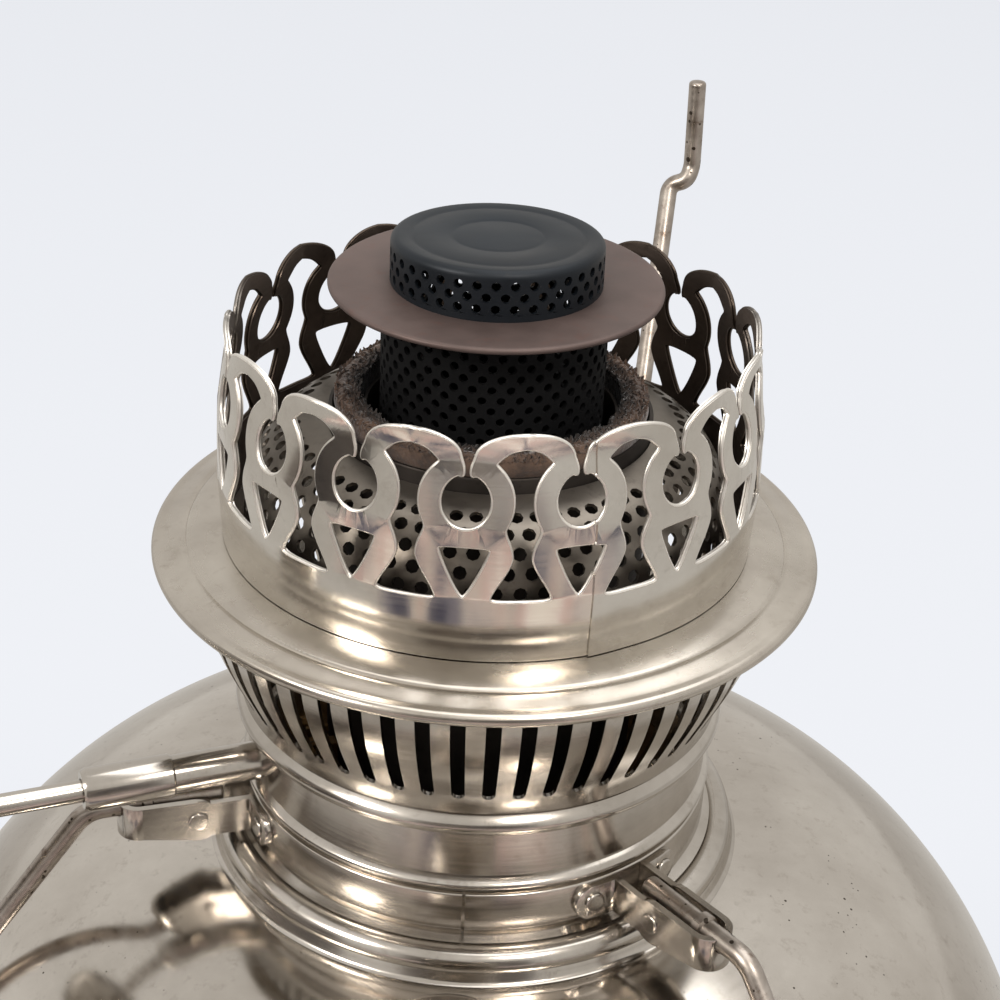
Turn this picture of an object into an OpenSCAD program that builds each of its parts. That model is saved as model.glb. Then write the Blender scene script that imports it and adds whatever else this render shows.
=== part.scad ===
// Centre-draft kerosene table lamp, shown without chimney and shade.
// Millimetres, +Z up, origin at the middle of the face that the lamp stands on.
// The front of the lamp is -Y. Heights of the burner are measured from the flange rim.

/* [Lamp] */
// Height of the flange rim above the table
rim_z = 250; // [240:1:290]
// Thickness of the sheet that the shells are pressed from
sheet = 0.8; // [0.6:0.1:1.2]
// Running clearance between pieces that move past each other
run = 0.3; // [0.25:0.05:0.5]
// Clearance of pieces that are soldered or pushed together
fit = 0.05; // [0.03:0.01:0.08]

/* [Font] */
// Radius of the font at its widest line
font_r = 87.5; // [84:0.5:95]
// Depth of the widest line below the flange rim
font_drop = 103.5; // [98:0.5:112]
// Depth of the bowl below the widest line
bowl_depth = 62; // [54:1:68]
// Radius of the flat floor of the bowl
bowl_floor_r = 36; // [34:0.5:42]
// Depth of the flat seat on top of the shoulder below the flange rim
seat_drop = 45; // [44.8:0.1:46]
// Outer radius of the flat seat on top of the shoulder
seat_r = 37.2; // [37:0.1:40]
// Radius of the opening in the shoulder
mouth_r = 30; // [28:0.5:30.5]
// Reach of the shoulder's flat stretch before it turns down
shoulder_flat = 29; // [22:0.5:29]
// Height of the shoulder's steep stretch above the widest line
shoulder_steep = 28.5; // [24:0.5:29]
// Fall of the shoulder over its flat stretch
shoulder_fall = 0.2; // [0.1:0.1:4]
// Radius of the rolled seam bead round the widest line
seam_r = 2.2; // [1.6:0.1:3]

/* [Pedestal] */
// Radius of the pedestal's skirt
foot_r = 76; // [70:1:84]
// Radius of the round bar that edges the foot
foot_bar_r = 3; // [2:0.1:4]
// Height of the upright skirt
skirt_h = 21; // [18:1:26]
// Radius of the waist
waist_r = 30; // [26:0.5:32]
// Depth of the waist below the bowl
waist_drop = 15; // [12:0.5:20]
// Number of draft holes round the skirt
draft_holes = 20; // [12:1:24]
// Radius of a draft hole
draft_hole_r = 4.2; // [3:0.1:5]

/* [Filler] */
// Distance of the filler from the font's widest line, inwards
filler_in = 30.5; // [28:0.5:32]
// Direction of the filler
filler_az = -92; // [-110:1:-80]
// Radius of the filler's bore
filler_bore_r = 7.2; // [6:0.1:7.5]
// Radius of the filler's neck
filler_neck_r = 8.2; // [8.1:0.1:8.6]
// Outer radius of the filler cap
filler_cap_r = 10; // [9.8:0.1:10.6]
// Depth of the filler cap's top below the flange rim
filler_top_drop = 36.6; // [34:0.1:37]
// Height of the filler cap
filler_cap_h = 6.9; // [6:0.1:7.2]
// Thickness of the gasket in the filler cap
gasket_h = 1; // [0.8:0.1:1.4]

/* [Burner] */
// Radius of the flange at its rolled lip
lip_r = 43.7; // [42:0.1:46]
// Radius of the roll along the lip
lip_roll_r = 0.9; // [0.8:0.1:1.1]
// Height of the gallery's seat above the flange rim
dish_h = 2.45; // [2:0.05:3.5]
// Height of the slotted bell below the lip
bell_h = 20.1; // [19.3:0.1:20.5]
// Radius of the bell under the lip
bell_r = 38.6; // [38.2:0.1:39]
// Height of the plain strip between the slots and the lip
strip_h = 3.3; // [2.8:0.1:3.8]
// Number of slots round the bell
slots = 56; // [40:1:60]
// Direction of the first slot
slot_az = -87; // [-90:0.5:-84]
// Width of a slot
slot_w = 1.9; // [1.4:0.05:2.1]
// Radius of the plain neck
neck_r = 31.5; // [31.3:0.1:31.8]
// Radius of the bead at the top of the neck
top_bead_r = 33.2; // [32.6:0.1:33.8]
// Height of the bead at the top of the neck
top_bead_h = 4.1; // [3.6:0.1:4.5]
// Height of the plain neck
plain_h = 6.6; // [6.2:0.1:7]
// Radius of the bead at the bottom of the neck
low_bead_r = 32.3; // [32:0.1:32.6]
// Height of the bead at the bottom of the neck
low_bead_h = 2.2; // [1.8:0.1:2.5]
// How far the spigot that carries the band is set back from the neck
spigot_set = 0.4; // [0.3:0.05:0.6]
// Radius of the bead on the collar
collar_bead_r = 2.1; // [1.8:0.1:2.1]
// Radius from the axis to the middle of the collar's bead
collar_bead_at = 34.1; // [33.9:0.1:34.3]
// Height of the collar's foot
collar_foot_h = 1; // [0.8:0.1:1.2]
// Outer radius of the collar's foot
collar_foot_r = 36.4; // [36.3:0.1:36.9]
// Height of the burner floor above the seat on the shoulder
floor_up = 4.6; // [3.6:0.1:6]

/* [Gallery] */
// Radius of the gallery at its foot
crown_r = 34; // [33.6:0.1:35]
// Thickness of the gallery's sheet
crown_t = 0.6; // [0.5:0.05:0.8]
// Height of the gallery
crown_h = 29.3; // [28.5:0.1:30.5]
// Number of rings round the gallery
crown_rings = 16; // [14:1:18]
// Direction of the first ring
crown_az = -94; // [-100:1:-80]
// Height of the middle of a ring above the gallery's foot
ring_z = 21.05; // [20.6:0.05:21.4]
// Radius of a ring's hole
ring_hole_r = 3.3; // [2.8:0.1:3.5]
// Outer radius of a ring
ring_r = 5.6; // [5.2:0.05:5.8]
// Width of the gap at the top of a ring
ring_gap = 1.1; // [0.8:0.05:1.4]
// Height of the plain band at the gallery's foot
crown_band_h = 8.3; // [7:0.1:8.6]

/* [Wick and draft] */
// Inner radius of the draft tube
draft_r = 15.8; // [15.4:0.1:16]
// Wall of the draft tube and of the outer wick tube
tube_t = 0.6; // [0.5:0.05:0.8]
// Thickness of the wick
wick_t = 3.2; // [2.8:0.1:3.6]
// Height of the wick's top above the flange rim
wick_top = 22.3; // [21:0.1:24]
// Length of the wick
wick_len = 118; // [112:1:126]
// Height of the wick tube's rim above the flange rim
wick_tube_top = 19.5; // [18.5:0.1:20.5]
// Depth of the wick tube's lower end below the flange rim
wick_tube_drop = 50; // [48:0.5:52]
// Height of the basket's top above the flange rim
basket_top = 17.6; // [16.5:0.1:18]
// Distance of the basket's foot from the gallery, inwards
basket_in = 2.2; // [1.8:0.1:2.6]
// Radius of a hole in the basket
basket_hole_r = 1.05; // [0.8:0.05:1.2]
// Number of holes in a row of the basket
basket_holes = 36; // [24:1:40]

/* [Flame spreader] */
// Outer radius of the spreader's tube
spreader_r = 14.3; // [14:0.1:14.5]
// Depth of the spreader's foot above the flange rim
spreader_foot = 2; // [1.6:0.1:3]
// Radius of the spreader's disc
disc_r = 21; // [20:0.1:22]
// Height of the disc's top above the flange rim
disc_top = 36.65; // [35:0.05:38]
// Radius of the button cap
button_r = 13.3; // [12.8:0.1:13.8]
// Height of the button cap
button_h = 5.8; // [5.4:0.1:7.2]
// Radius of a hole in the spreader
spreader_hole_r = 0.8; // [0.6:0.05:0.9]
// Number of holes in a row of the spreader
spreader_holes = 24; // [18:1:28]
// Number of rows of holes in the spreader's tube
spreader_rows = 6; // [4:1:6]

/* [Wick raiser] */
// Direction of the raiser
raiser_az = 201.5; // [201:0.5:206]
// Depth of the raiser's axis below the flange rim
raiser_drop = 29.3; // [28.8:0.1:29.5]
// Radius of the spindle
spindle_r = 1.5; // [1.2:0.05:1.6]
// Radius of the bush
bush_r = 2.6; // [2.4:0.05:2.6]
// Distance of the bush's outer end from the lamp's axis
bush_end = 43; // [40:0.5:46]
// Radius of the packing nut
packing_r = 2.9; // [2.7:0.05:2.9]
// Length of the packing nut
packing_len = 12; // [8:0.5:16]
// Distance of the knob from the lamp's axis
knob_at = 76; // [72:0.5:84]
// Radius of the knob
knob_r = 12.5; // [10:0.1:14]
// Thickness of the knob's rim
knob_t = 4; // [3:0.1:6]
// Module of the pinion and the rack
gear_module = 0.7; // [0.7:0.01:0.72]
// Face width of the pinion
pinion_w = 3; // [2.4:0.1:3.2]
// Distance of the pinion's inner face from the lamp's axis
pinion_at = 22; // [21.8:0.1:22.4]
// Depth of the carrier's top below the flange rim
carrier_drop = 70; // [66:0.5:74]
// Height of the carrier
carrier_h = 6; // [5:0.5:8]
// Length of the rack
rack_len = 46; // [44:0.5:48]

/* [Shade holder] */
// Height of the band
band_h = 5.7; // [5:0.1:6]
// Gap between the neck's lower bead and the band
band_gap = 0.2; // [0.2:0.05:0.6]
// Thickness of the band
band_t = 0.9; // [0.7:0.05:1]
// Direction of the left ear, under the raiser
ear_left_az = 198.5; // [197:0.5:199]
// Direction of the right ear
ear_right_az = -50.5; // [-56:0.5:-46]
// Direction of the back ear
ear_back_az = 67; // [60:0.5:75]
// Thickness of an ear
ear_t = 0.9; // [0.7:0.05:1]
// Distance of an ear's bend from the lamp's axis
ear_bend_at = 47.2; // [46:0.1:49]
// Half height of an ear at its cross rivet
ear_half = 3.1; // [2.9:0.1:3.3]
// Height of an arm's pivot above the middle of the band
pivot_up = 2.4; // [2.35:0.05:2.6]
// Radius of the wire that an arm is bent from
wire_r = 1.4; // [1.2:0.05:1.45]
// Distance of an arm's knee from the font's widest line, inwards
knee_in = 33.5; // [30:0.1:33.6]
// Angle that an arm turns through at its knee
knee_bend = 52; // [48:0.5:53]
// Length of an arm from its knee to its jog
arm_len = 64.5; // [50:0.5:72]
// Angle of the jog's two bends
jog_bend = 80; // [40:1:82]
// Length of the upright tip of an arm
tip_len = 14.5; // [8:0.5:18]
// Turn of the raised back arm about its pivot
back_turn = -11; // [-30:1:30]
// Lean of an arm's tip
tip_lean = 13; // [0:1:20]

/* [Hidden] */
$fn = 96;

// Seam under the lip's roll
lip_seam = 0.1;

// Levels, from the table up
bowl_z = rim_z - font_drop - bowl_depth;
font_z = rim_z - font_drop;
seat_z = rim_z - seat_drop;
floor_z = seat_z + floor_up;
bell_top_z = rim_z - lip_roll_r - lip_seam;
neck_top_z = bell_top_z - bell_h;
plain_top_z = neck_top_z - top_bead_h;
low_bead_z = plain_top_z - plain_h;
spigot_z = low_bead_z - low_bead_h;
crown_z = rim_z + dish_h;
band_z = spigot_z - band_gap - band_h / 2;
pivot_z = band_z + pivot_up;
raiser_z = rim_z - raiser_drop;
filler_top_z = rim_z - filler_top_drop;
disc_z = rim_z + disc_top;

// Radii of the pieces nested round the wick
draft_out_r = draft_r + tube_t;
wick_in_r = draft_out_r + run;
wick_out_r = wick_in_r + wick_t;
wick_tube_in_r = wick_out_r + run;
wick_tube_r = wick_tube_in_r + tube_t;
spigot_r = neck_r - spigot_set;
band_in_r = spigot_r + fit;
band_r = band_in_r + band_t;
ear_in_r = band_r + fit;
ear_r = ear_in_r + ear_t;
basket_r = crown_r - basket_in;

// Soldered seams between the big shells
seam_gap = 2 * fit;

// The filler keeps clear of the collar, and an arm's knee keeps clear of its ear
filler_room = 1.5;
filler_at = max(font_r - filler_in, collar_foot_r + filler_cap_r + filler_room);
ear_gap = wire_r + 0.7;
knee_room = 3.4;
knee_at = max(font_r - knee_in, ear_bend_at + ear_gap + ear_t + knee_room);

// A polyline's direction and the wall that lies a thickness to its left
function unit(v) = v / norm(v);
function left_of(p, i) =
    let (a = p[max(i - 1, 0)], b = p[min(i + 1, len(p) - 1)], d = unit(b - a)) [-d[1], d[0]];
function skin(p, t) = concat(p, [for (i = [len(p) - 1:-1:0]) p[i] + t * left_of(p, i)]);

// A cubic curve through its end points, and an arc
function curve(a, b, c, d, n) =
    [for (i = [0:n]) let (t = i / n, u = 1 - t)
        u * u * u * a + 3 * u * u * t * b + 3 * u * t * t * c + t * t * t * d];
function arc(x, y, r, a0, a1, n) =
    [for (i = [0:n]) let (a = a0 + (a1 - a0) * i / n) [x + r * cos(a), y + r * sin(a)]];

// A bead that swells from one radius to another and back over a height
function bead(r0, r1, z0, h, n) = [for (i = [0:n]) [r0 + (r1 - r0) * sin(180 * i / n), z0 + h * i / n]];

// A shell of revolution with its wall to the left of the profile
module shell(p, t) rotate_extrude() polygon(skin(p, t));

// A ring of rectangular section
module ring(r_in, r_out, z0, z1)
    translate([0, 0, z0]) difference() {
        cylinder(r = r_out, h = z1 - z0);
        translate([0, 0, -1]) cylinder(r = r_in, h = z1 - z0 + 2);
    }

// A rod along a direction square to the lamp's axis, from one distance to another
module spoke(r, from, to, z)
    translate([from, 0, z]) rotate([0, 90, 0]) cylinder(r = r, h = to - from);

// Foot and font
shoulder_curve = curve([seat_r, seat_z], [seat_r + shoulder_flat, seat_z - shoulder_fall],
                       [font_r, font_z + shoulder_steep], [font_r, font_z], 18);
foot_z = foot_bar_r * 1.4;

module foot_bar()
    color("Silver") rotate_extrude() translate([foot_r, 0]) intersection() {
        translate([0, foot_z - foot_bar_r]) circle(r = foot_bar_r);
        translate([-foot_bar_r, 0]) square([2 * foot_bar_r, foot_z]);
    }

module pedestal() {
    waist_z = bowl_z - waist_drop;
    flare = curve([foot_r, skirt_h], [foot_r, (skirt_h + waist_z) / 2],
                  [waist_r, (skirt_h + waist_z) / 2], [waist_r, waist_z], 20);
    throat = curve([waist_r, waist_z], [waist_r, waist_z + waist_drop / 2],
                   [bowl_floor_r - 2, bowl_z - waist_drop / 4], [bowl_floor_r, bowl_z - 2 * sheet], 6);
    color("Silver") difference() {
        shell(concat([[foot_r, foot_z + seam_gap]], flare, [for (i = [1:6]) throat[i]],
                     [[bowl_floor_r, bowl_z - seam_gap]]), sheet);
        for (i = [0:draft_holes - 1])
            rotate([0, 0, 360 / draft_holes * (i + 0.5)])
                spoke(draft_hole_r, foot_r - 8, foot_r + 8, (foot_z + skirt_h) / 2);
    }
}

module font_bowl() {
    side = [for (i = [0:18]) let (a = 90 - 5 * i)
            [bowl_floor_r + (font_r - bowl_floor_r) * cos(a), font_z - max(seam_gap, bowl_depth * sin(a))]];
    color("Silver") shell(concat([[draft_out_r + fit, bowl_z]], side), sheet);
}

module shoulder_solid(grow)
    rotate_extrude() polygon(concat([[0, font_z - 1], [0, seat_z + grow], [seat_r, seat_z + grow]],
                                    [for (p = shoulder_curve) p + [grow, grow / 2]], [[font_r, font_z - 1]]));

module at_filler() rotate([0, 0, filler_az]) translate([filler_at, 0, 0]) children();

module font_shoulder() {
    up = [for (i = [len(shoulder_curve) - 1:-1:0]) shoulder_curve[i]];
    color("Silver") difference() {
        shell(concat(up, [[mouth_r, seat_z]]), sheet);
        at_filler() translate([0, 0, font_z]) cylinder(r = filler_bore_r, h = font_drop);
    }
}

module font_seam()
    color("Silver") rotate_extrude() translate([font_r + fit, font_z]) intersection() {
        circle(r = seam_r);
        translate([0, -seam_r]) square([seam_r, 2 * seam_r]);
    }

// The tube carries a ledge inside, on which the flame spreader rests
module draft_tube() {
    ledge = 0.9;
    tail = 6;
    color("Tan") union() {
        ring(draft_r, draft_out_r, bowl_z - tail, rim_z + wick_tube_top);
        ring(draft_r - ledge, draft_r, rim_z + spreader_foot - run - ledge, rim_z + spreader_foot - run);
    }
}

module filler_neck() {
    low = font_z + shoulder_steep;
    neck_top = filler_top_z - sheet - gasket_h - run;
    skirt_top = filler_top_z - filler_cap_h - 1;
    skirt_r = filler_neck_r + 2.2;
    skirt_slope = 1.2;
    color("Silver") difference() {
        at_filler() translate([0, 0, low]) union() {
            cylinder(r = filler_neck_r, h = neck_top - low);
            cylinder(r = skirt_r, h = skirt_top - skirt_slope - low);
            translate([0, 0, skirt_top - skirt_slope - low])
                cylinder(r1 = skirt_r, r2 = filler_neck_r, h = skirt_slope);
        }
        shoulder_solid(fit);
        at_filler() translate([0, 0, font_z]) cylinder(r = filler_bore_r, h = font_drop);
    }
}

module filler_cap() {
    low = filler_top_z - filler_cap_h;
    color("Silver") at_filler() difference() {
        union() {
            translate([0, 0, low]) cylinder(r = filler_cap_r, h = filler_cap_h - sheet);
            translate([0, 0, filler_top_z - sheet])
                cylinder(r1 = filler_cap_r, r2 = filler_cap_r - sheet, h = sheet);
        }
        translate([0, 0, low - 1]) cylinder(r = filler_neck_r + run, h = filler_cap_h - sheet + 1);
    }
}

module filler_gasket()
    color("SaddleBrown") at_filler() ring(filler_bore_r - 1.2, filler_neck_r + run / 2,
                                          filler_top_z - sheet - gasket_h, filler_top_z - sheet);

// Collar, neck, bell and flange
module collar() {
    bead_z = seat_z + collar_bead_r;
    in_r = spigot_r + fit;
    outline = concat([[in_r, seat_z], [collar_foot_r, seat_z], [collar_foot_r, seat_z + collar_foot_h],
                      [collar_bead_at + collar_bead_r, seat_z + collar_foot_h + 0.2]],
                     arc(collar_bead_at, bead_z, collar_bead_r, -15, 120, 12),
                     [[in_r, band_z - band_h / 2 - run]]);
    color("Silver") rotate_extrude() polygon(outline);
}

module at_raiser() rotate([0, 0, raiser_az]) children();

module burner_neck() {
    low_bead = bead(spigot_r, low_bead_r, spigot_z, low_bead_h, 8);
    top_bead = bead(neck_r, top_bead_r, plain_top_z, top_bead_h, 8);
    color("Silver") difference() {
        shell(concat([[spigot_r, seat_z]], low_bead, [[neck_r, low_bead_z + spigot_set]], top_bead), sheet);
        at_raiser() spoke(bush_r + fit, neck_r - 6, neck_r + 6, raiser_z);
    }
}

module burner_floor()
    color("Tan") difference() {
        ring(wick_tube_r + fit, spigot_r - sheet - fit, floor_z, floor_z + sheet);
        at_raiser() translate([pinion_at - run, pitch_r - 2 * gear_module, floor_z - 1])
            cube([pinion_w + 2 * run, 5 * gear_module + 2 * run, sheet + 2]);
    }

// The flange's top line from the lip inwards, and the line under its sheet
lip_at = lip_r - lip_roll_r;
lip_top_z = rim_z + lip_roll_r;
dish_line = concat(curve([lip_at, lip_top_z - 0.05], [lip_at - 3, lip_top_z + 0.6], [crown_r + 4, crown_z],
                         [crown_r + 1.6, crown_z], 8), [[basket_r - 1, crown_z]]);
dish_under = [for (i = [0:len(dish_line) - 1]) dish_line[i] + sheet * left_of(dish_line, i)];

// The bell stands under the flange's sheet, with a soldered seam between them
module slotted_bell() {
    foot = neck_r + sheet + 0.2;
    slot_low = neck_top_z + slot_w / 2 + 2.8;
    slot_high = bell_top_z - strip_h;
    flare = concat(curve([foot, neck_top_z], [foot, neck_top_z + 3.6], [bell_r - 1, bell_top_z - 12],
                         [bell_r, bell_top_z], 10), [[bell_r + 0.3, crown_z]]);
    inside = foot - 4;
    color("Silver") difference() {
        rotate_extrude() difference() {
            polygon(skin(flare, sheet));
            translate([0, -seam_gap])
                polygon(concat(dish_under, [[basket_r - 1, crown_z + 9], [lip_r, crown_z + 9]]));
        }
        for (i = [0:slots - 1]) rotate([0, 0, slot_az + 360 / slots * i]) {
            spoke(slot_w / 2, inside, lip_r, slot_low);
            translate([inside, -slot_w / 2, slot_low]) cube([lip_r - inside, slot_w, slot_high - slot_low]);
        }
    }
}

module flange_dish()
    color("Silver") rotate_extrude() union() {
        polygon(skin(dish_line, sheet));
        translate([lip_at, rim_z]) circle(r = lip_roll_r);
    }

// Perforated dome between the flange and the wick tube
basket_z = rim_z + basket_top;
basket_foot_z = crown_z + seam_gap;
basket_curve = curve([basket_r, basket_foot_z], [basket_r, basket_foot_z + 0.63 * (basket_z - basket_foot_z)],
                     [basket_r - 3.3, basket_z - 0.6],
                     [wick_tube_r + 4 * fit, basket_z], 12);

module air_basket()
    color("LightGray") difference() {
        shell(basket_curve, tube_t);
        for (row = [2, 4, 6, 8])
            for (i = [0:basket_holes - 1]) {
                p = basket_curve[row];
                n = left_of(basket_curve, row);
                rotate([0, 0, 360 / basket_holes * (i + row / 4)])
                    translate([p[0], 0, p[1]]) rotate([0, 90 - atan2(-n[1], -n[0]), 0])
                        cylinder(r = basket_hole_r, h = 4, center = true, $fn = 24);
            }
    }

module wick_tube()
    color("Tan") ring(wick_tube_in_r, wick_tube_r, rim_z - wick_tube_drop, rim_z + wick_tube_top);

// Chimney gallery. Its openings are drawn flat, across and up, and cut straight through the crown.
half_unit = (crown_r + crown_t) * tan(180 / crown_rings);
arch_z = ring_z + 0.7 * ring_r;

// An outline drawn for its right side, closed by its mirror image
function both(p) = concat(p, [for (i = [len(p) - 1:-1:0]) [-p[i][0], p[i][1]]]);

// A ring's hole, the gap above it and the hollow between two arches
module ring_opening() {
    past = half_unit + 0.4;
    arch = [for (a = [180:-10:90])
            [half_unit + (half_unit - ring_gap / 2) * cos(a), arch_z + (crown_h - arch_z) * sin(a)]];
    translate([0, ring_z]) circle(r = ring_hole_r, $fn = 48);
    polygon(both(concat([[ring_gap / 2, ring_z + 0.8 * ring_hole_r]], arch,
                        [[past, crown_h], [past, crown_h + 2]])));
}

module triangle_opening() {
    top_z = ring_z - ring_r;
    tip_z = crown_band_h + 0.6;
    polygon(both([[0.45, tip_z], [3.3, top_z - 0.6], [2.9, top_z]]));
}

// The tall opening between two rings, from the plain band to the underside of an arch
module bottle_opening() {
    round_ring = [for (a = [125:8:222]) [half_unit + ring_r * cos(a), ring_z + ring_r * sin(a)]];
    lobe = half_unit - ring_r;
    polygon(both(concat([[0.9, crown_h - 1.6], [1.9, crown_h - 2.1], [3.4, crown_h - 3.6]], round_ring,
                        [[lobe, ring_z - 6.1], [lobe, ring_z - 7.5], [lobe + 2.2, crown_band_h + 1.1],
                         [lobe + 2.6, crown_band_h + 0.5], [lobe + 2.3, crown_band_h]])));
}

module through_crown()
    translate([crown_r, 0, crown_z]) rotate([90, 0, 90]) linear_extrude(12, center = true) children();

module gallery_crown() {
    lean = [[crown_r, 0], [crown_r + 0.45, crown_h * 0.24], [crown_r + 0.3, crown_h * 0.58],
            [crown_r - 0.7, crown_h * 0.846], [crown_r - 1.9, crown_h + 0.3]];
    color("Gainsboro") difference() {
        shell([for (p = lean) p + [crown_t, crown_z]], crown_t);
        for (i = [0:crown_rings - 1]) rotate([0, 0, crown_az + 360 / crown_rings * i]) {
            through_crown() ring_opening();
            through_crown() triangle_opening();
            rotate([0, 0, 180 / crown_rings]) through_crown() bottle_opening();
        }
    }
}

// Flame spreader
module spreader_tube() {
    foot_z = rim_z + spreader_foot;
    low = rim_z + wick_tube_top + 1.2;
    high = disc_z - sheet - 1.6;
    color("DimGray") difference() {
        union() {
            ring(spreader_r - tube_t, spreader_r, foot_z, disc_z - sheet);
            ring(spreader_r - tube_t, draft_r - run, foot_z, foot_z + 2);
        }
        for (row = [0:spreader_rows - 1])
            for (i = [0:spreader_holes - 1])
                rotate([0, 0, 360 / spreader_holes * (i + row / 2)])
                    spoke(spreader_hole_r, spreader_r - 3, spreader_r + 3,
                          low + (high - low) * row / (spreader_rows - 1), $fn = 24);
    }
}

module spreader_disc() color("RosyBrown") ring(spreader_r - 2, disc_r, disc_z - sheet, disc_z);

module spreader_cap() {
    shoulder = 1.2;
    top_z = disc_z + button_h;
    edge = arc(button_r - shoulder, top_z - shoulder, shoulder, 0, 90, 5);
    color("DimGray") difference() {
        rotate_extrude() polygon(concat([[0, disc_z], [button_r, disc_z]], edge, [[0, top_z]]));
        translate([0, 0, disc_z - 1]) cylinder(r = button_r - tube_t, h = button_h - tube_t + 1);
        for (row = [0, 1])
            for (i = [0:spreader_holes - 1])
                rotate([0, 0, 360 / spreader_holes * (i + row / 2)])
                    spoke(spreader_hole_r, button_r - 3, button_r + 3, disc_z + 1.6 + 1.9 * row, $fn = 24);
    }
}

// Wick and what raises it
pinion_teeth = 12;
pitch_r = gear_module * pinion_teeth / 2;
tooth_pitch = PI * gear_module;
backlash = 0.14;
rack_tip = 0.55 * gear_module;
rack_root = 1.05 * gear_module;
rack_back = 1.8;
knob_dish = 0.4;
knob_face = knob_t - knob_dish;
spindle_end = knob_at + knob_t + 2.6;
gland_r = bush_r - 0.4;

module wick() {
    top_z = rim_z + wick_top;
    color("Peru") ring(wick_in_r, wick_out_r, top_z - wick_len, top_z);
}

module wick_carrier() {
    top_z = rim_z - carrier_drop;
    lug_y = pitch_r + rack_root;
    color("Goldenrod") union() {
        ring(wick_out_r + fit, wick_tube_r + 0.6, top_z - carrier_h, top_z);
        at_raiser() translate([wick_out_r + 0.2, lug_y, top_z - carrier_h])
            cube([pinion_at + pinion_w - run - wick_out_r - 0.2, rack_back, carrier_h]);
    }
}

// A tooth of the rack, pointing at the pinion, drawn up and across
module rack_tooth() {
    half = tooth_pitch / 4 - backlash / 2;
    slope = tan(20);
    root = rack_root + 0.1;
    side = [[half - rack_tip * slope, pitch_r - rack_tip], [half + root * slope, pitch_r + root]];
    rotate(-90) polygon(both(side));
}

module rack() {
    low_z = rim_z - carrier_drop;
    first = ceil((low_z + 18 - raiser_z) / tooth_pitch);
    last = floor((low_z + rack_len - 1.2 - raiser_z) / tooth_pitch);
    color("Goldenrod") at_raiser() translate([pinion_at + run, 0, 0]) rotate([90, 0, 90])
        linear_extrude(pinion_w - 2 * run) union() {
            translate([pitch_r + rack_root, low_z]) square([rack_back, rack_len]);
            for (k = [first:last]) translate([0, raiser_z + k * tooth_pitch]) rack_tooth();
        }
}

// A tooth space faces the rack when the raiser is at rest
module pinion() {
    tip_r = pitch_r + 0.8 * gear_module;
    root_r = pitch_r - 1.15 * gear_module;
    flank_r = pitch_r * 0.94;
    step = 360 / pinion_teeth;
    half = step / 4 - backlash / 2 / pitch_r * 180 / PI;
    tooth = [[root_r * sin(half * 1.15), root_r - 0.4], [pitch_r * sin(half * 1.12), flank_r],
             [pitch_r * sin(half), pitch_r], [tip_r * sin(half * 0.42), tip_r]];
    color("Goldenrod") at_raiser() translate([pinion_at, 0, raiser_z]) rotate([90, 0, 90])
        linear_extrude(pinion_w) difference() {
            union() {
                circle(r = root_r);
                for (k = [0:pinion_teeth - 1]) rotate(step * (k + 0.5) - 90) polygon(both(tooth));
            }
            circle(r = spindle_r + fit);
        }
}

module spindle()
    color("Silver") at_raiser() spoke(spindle_r, pinion_at - 0.5, spindle_end, raiser_z);

module raiser_bush()
    color("Silver") at_raiser() difference() {
        spoke(bush_r, neck_r - 4, bush_end, raiser_z);
        spoke(spindle_r + run / 2, neck_r - 5, bush_end + 1, raiser_z);
    }

module packing_nut()
    color("Silver") at_raiser() difference() {
        spoke(packing_r, bush_end, bush_end + packing_len, raiser_z);
        spoke(spindle_r + run / 2, bush_end - 1, bush_end + packing_len + 1, raiser_z);
        spoke(gland_r, bush_end - 1, bush_end + packing_len / 2, raiser_z);
    }

module spindle_packing()
    color("Wheat") at_raiser() difference() {
        spoke(gland_r - fit, bush_end + fit, bush_end + packing_len / 2 - fit, raiser_z);
        spoke(spindle_r + run / 2, bush_end - 1, bush_end + packing_len, raiser_z);
    }

// Both faces of the knob are dished between a hub and a rounded rim
module knob() {
    hub_r = 4;
    hub_h = 2.4;
    edge = 1;
    bore = spindle_r + fit;
    inner = [[bore, -hub_h], [hub_r, -hub_h], [hub_r + 0.6, -knob_dish],
             [knob_r - 2.2, 0.7], [knob_r - 1.4, 0]];
    outer = [[knob_r - 1.4, knob_t], [knob_r - 2.2, knob_t - 0.7], [hub_r, knob_face], [bore, knob_face]];
    rim = concat(arc(knob_r - edge, edge, edge, -90, 0, 4),
                 arc(knob_r - edge, knob_t - edge, edge, 0, 90, 4));
    color("Silver") at_raiser() translate([knob_at, 0, raiser_z]) rotate([0, 90, 0])
        rotate_extrude() polygon(concat(inner, rim, outer));
}

module knob_nut() {
    nut_r = 2.8;
    nut_h = 2;
    dome_h = 1.6;
    color("Silver") at_raiser() difference() {
        translate([knob_at + knob_face + fit, 0, raiser_z]) rotate([0, 90, 0]) union() {
            cylinder(r = nut_r, h = nut_h);
            translate([0, 0, nut_h]) cylinder(r1 = nut_r, r2 = nut_r - 1.2, h = dome_h);
        }
        spoke(spindle_r + fit, knob_at, spindle_end + fit, raiser_z);
    }
}

// Shade holder
rivet_r = 0.6;
head_r = 1.6;
head_h = 0.6;
foot_reach = 6;
ear_az = [ear_left_az, ear_right_az, ear_back_az];
arm_turn = [180, 180, back_turn];
cross_at = 39.8;

module at_ear(k) rotate([0, 0, ear_az[k]]) children();

// A domed rivet head standing on a plane, pointing up
module rivet_head() intersection() {
    translate([0, 0, head_h - head_r]) sphere(r = head_r * 1.25);
    cylinder(r = head_r, h = 2 * head_h);
}

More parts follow.
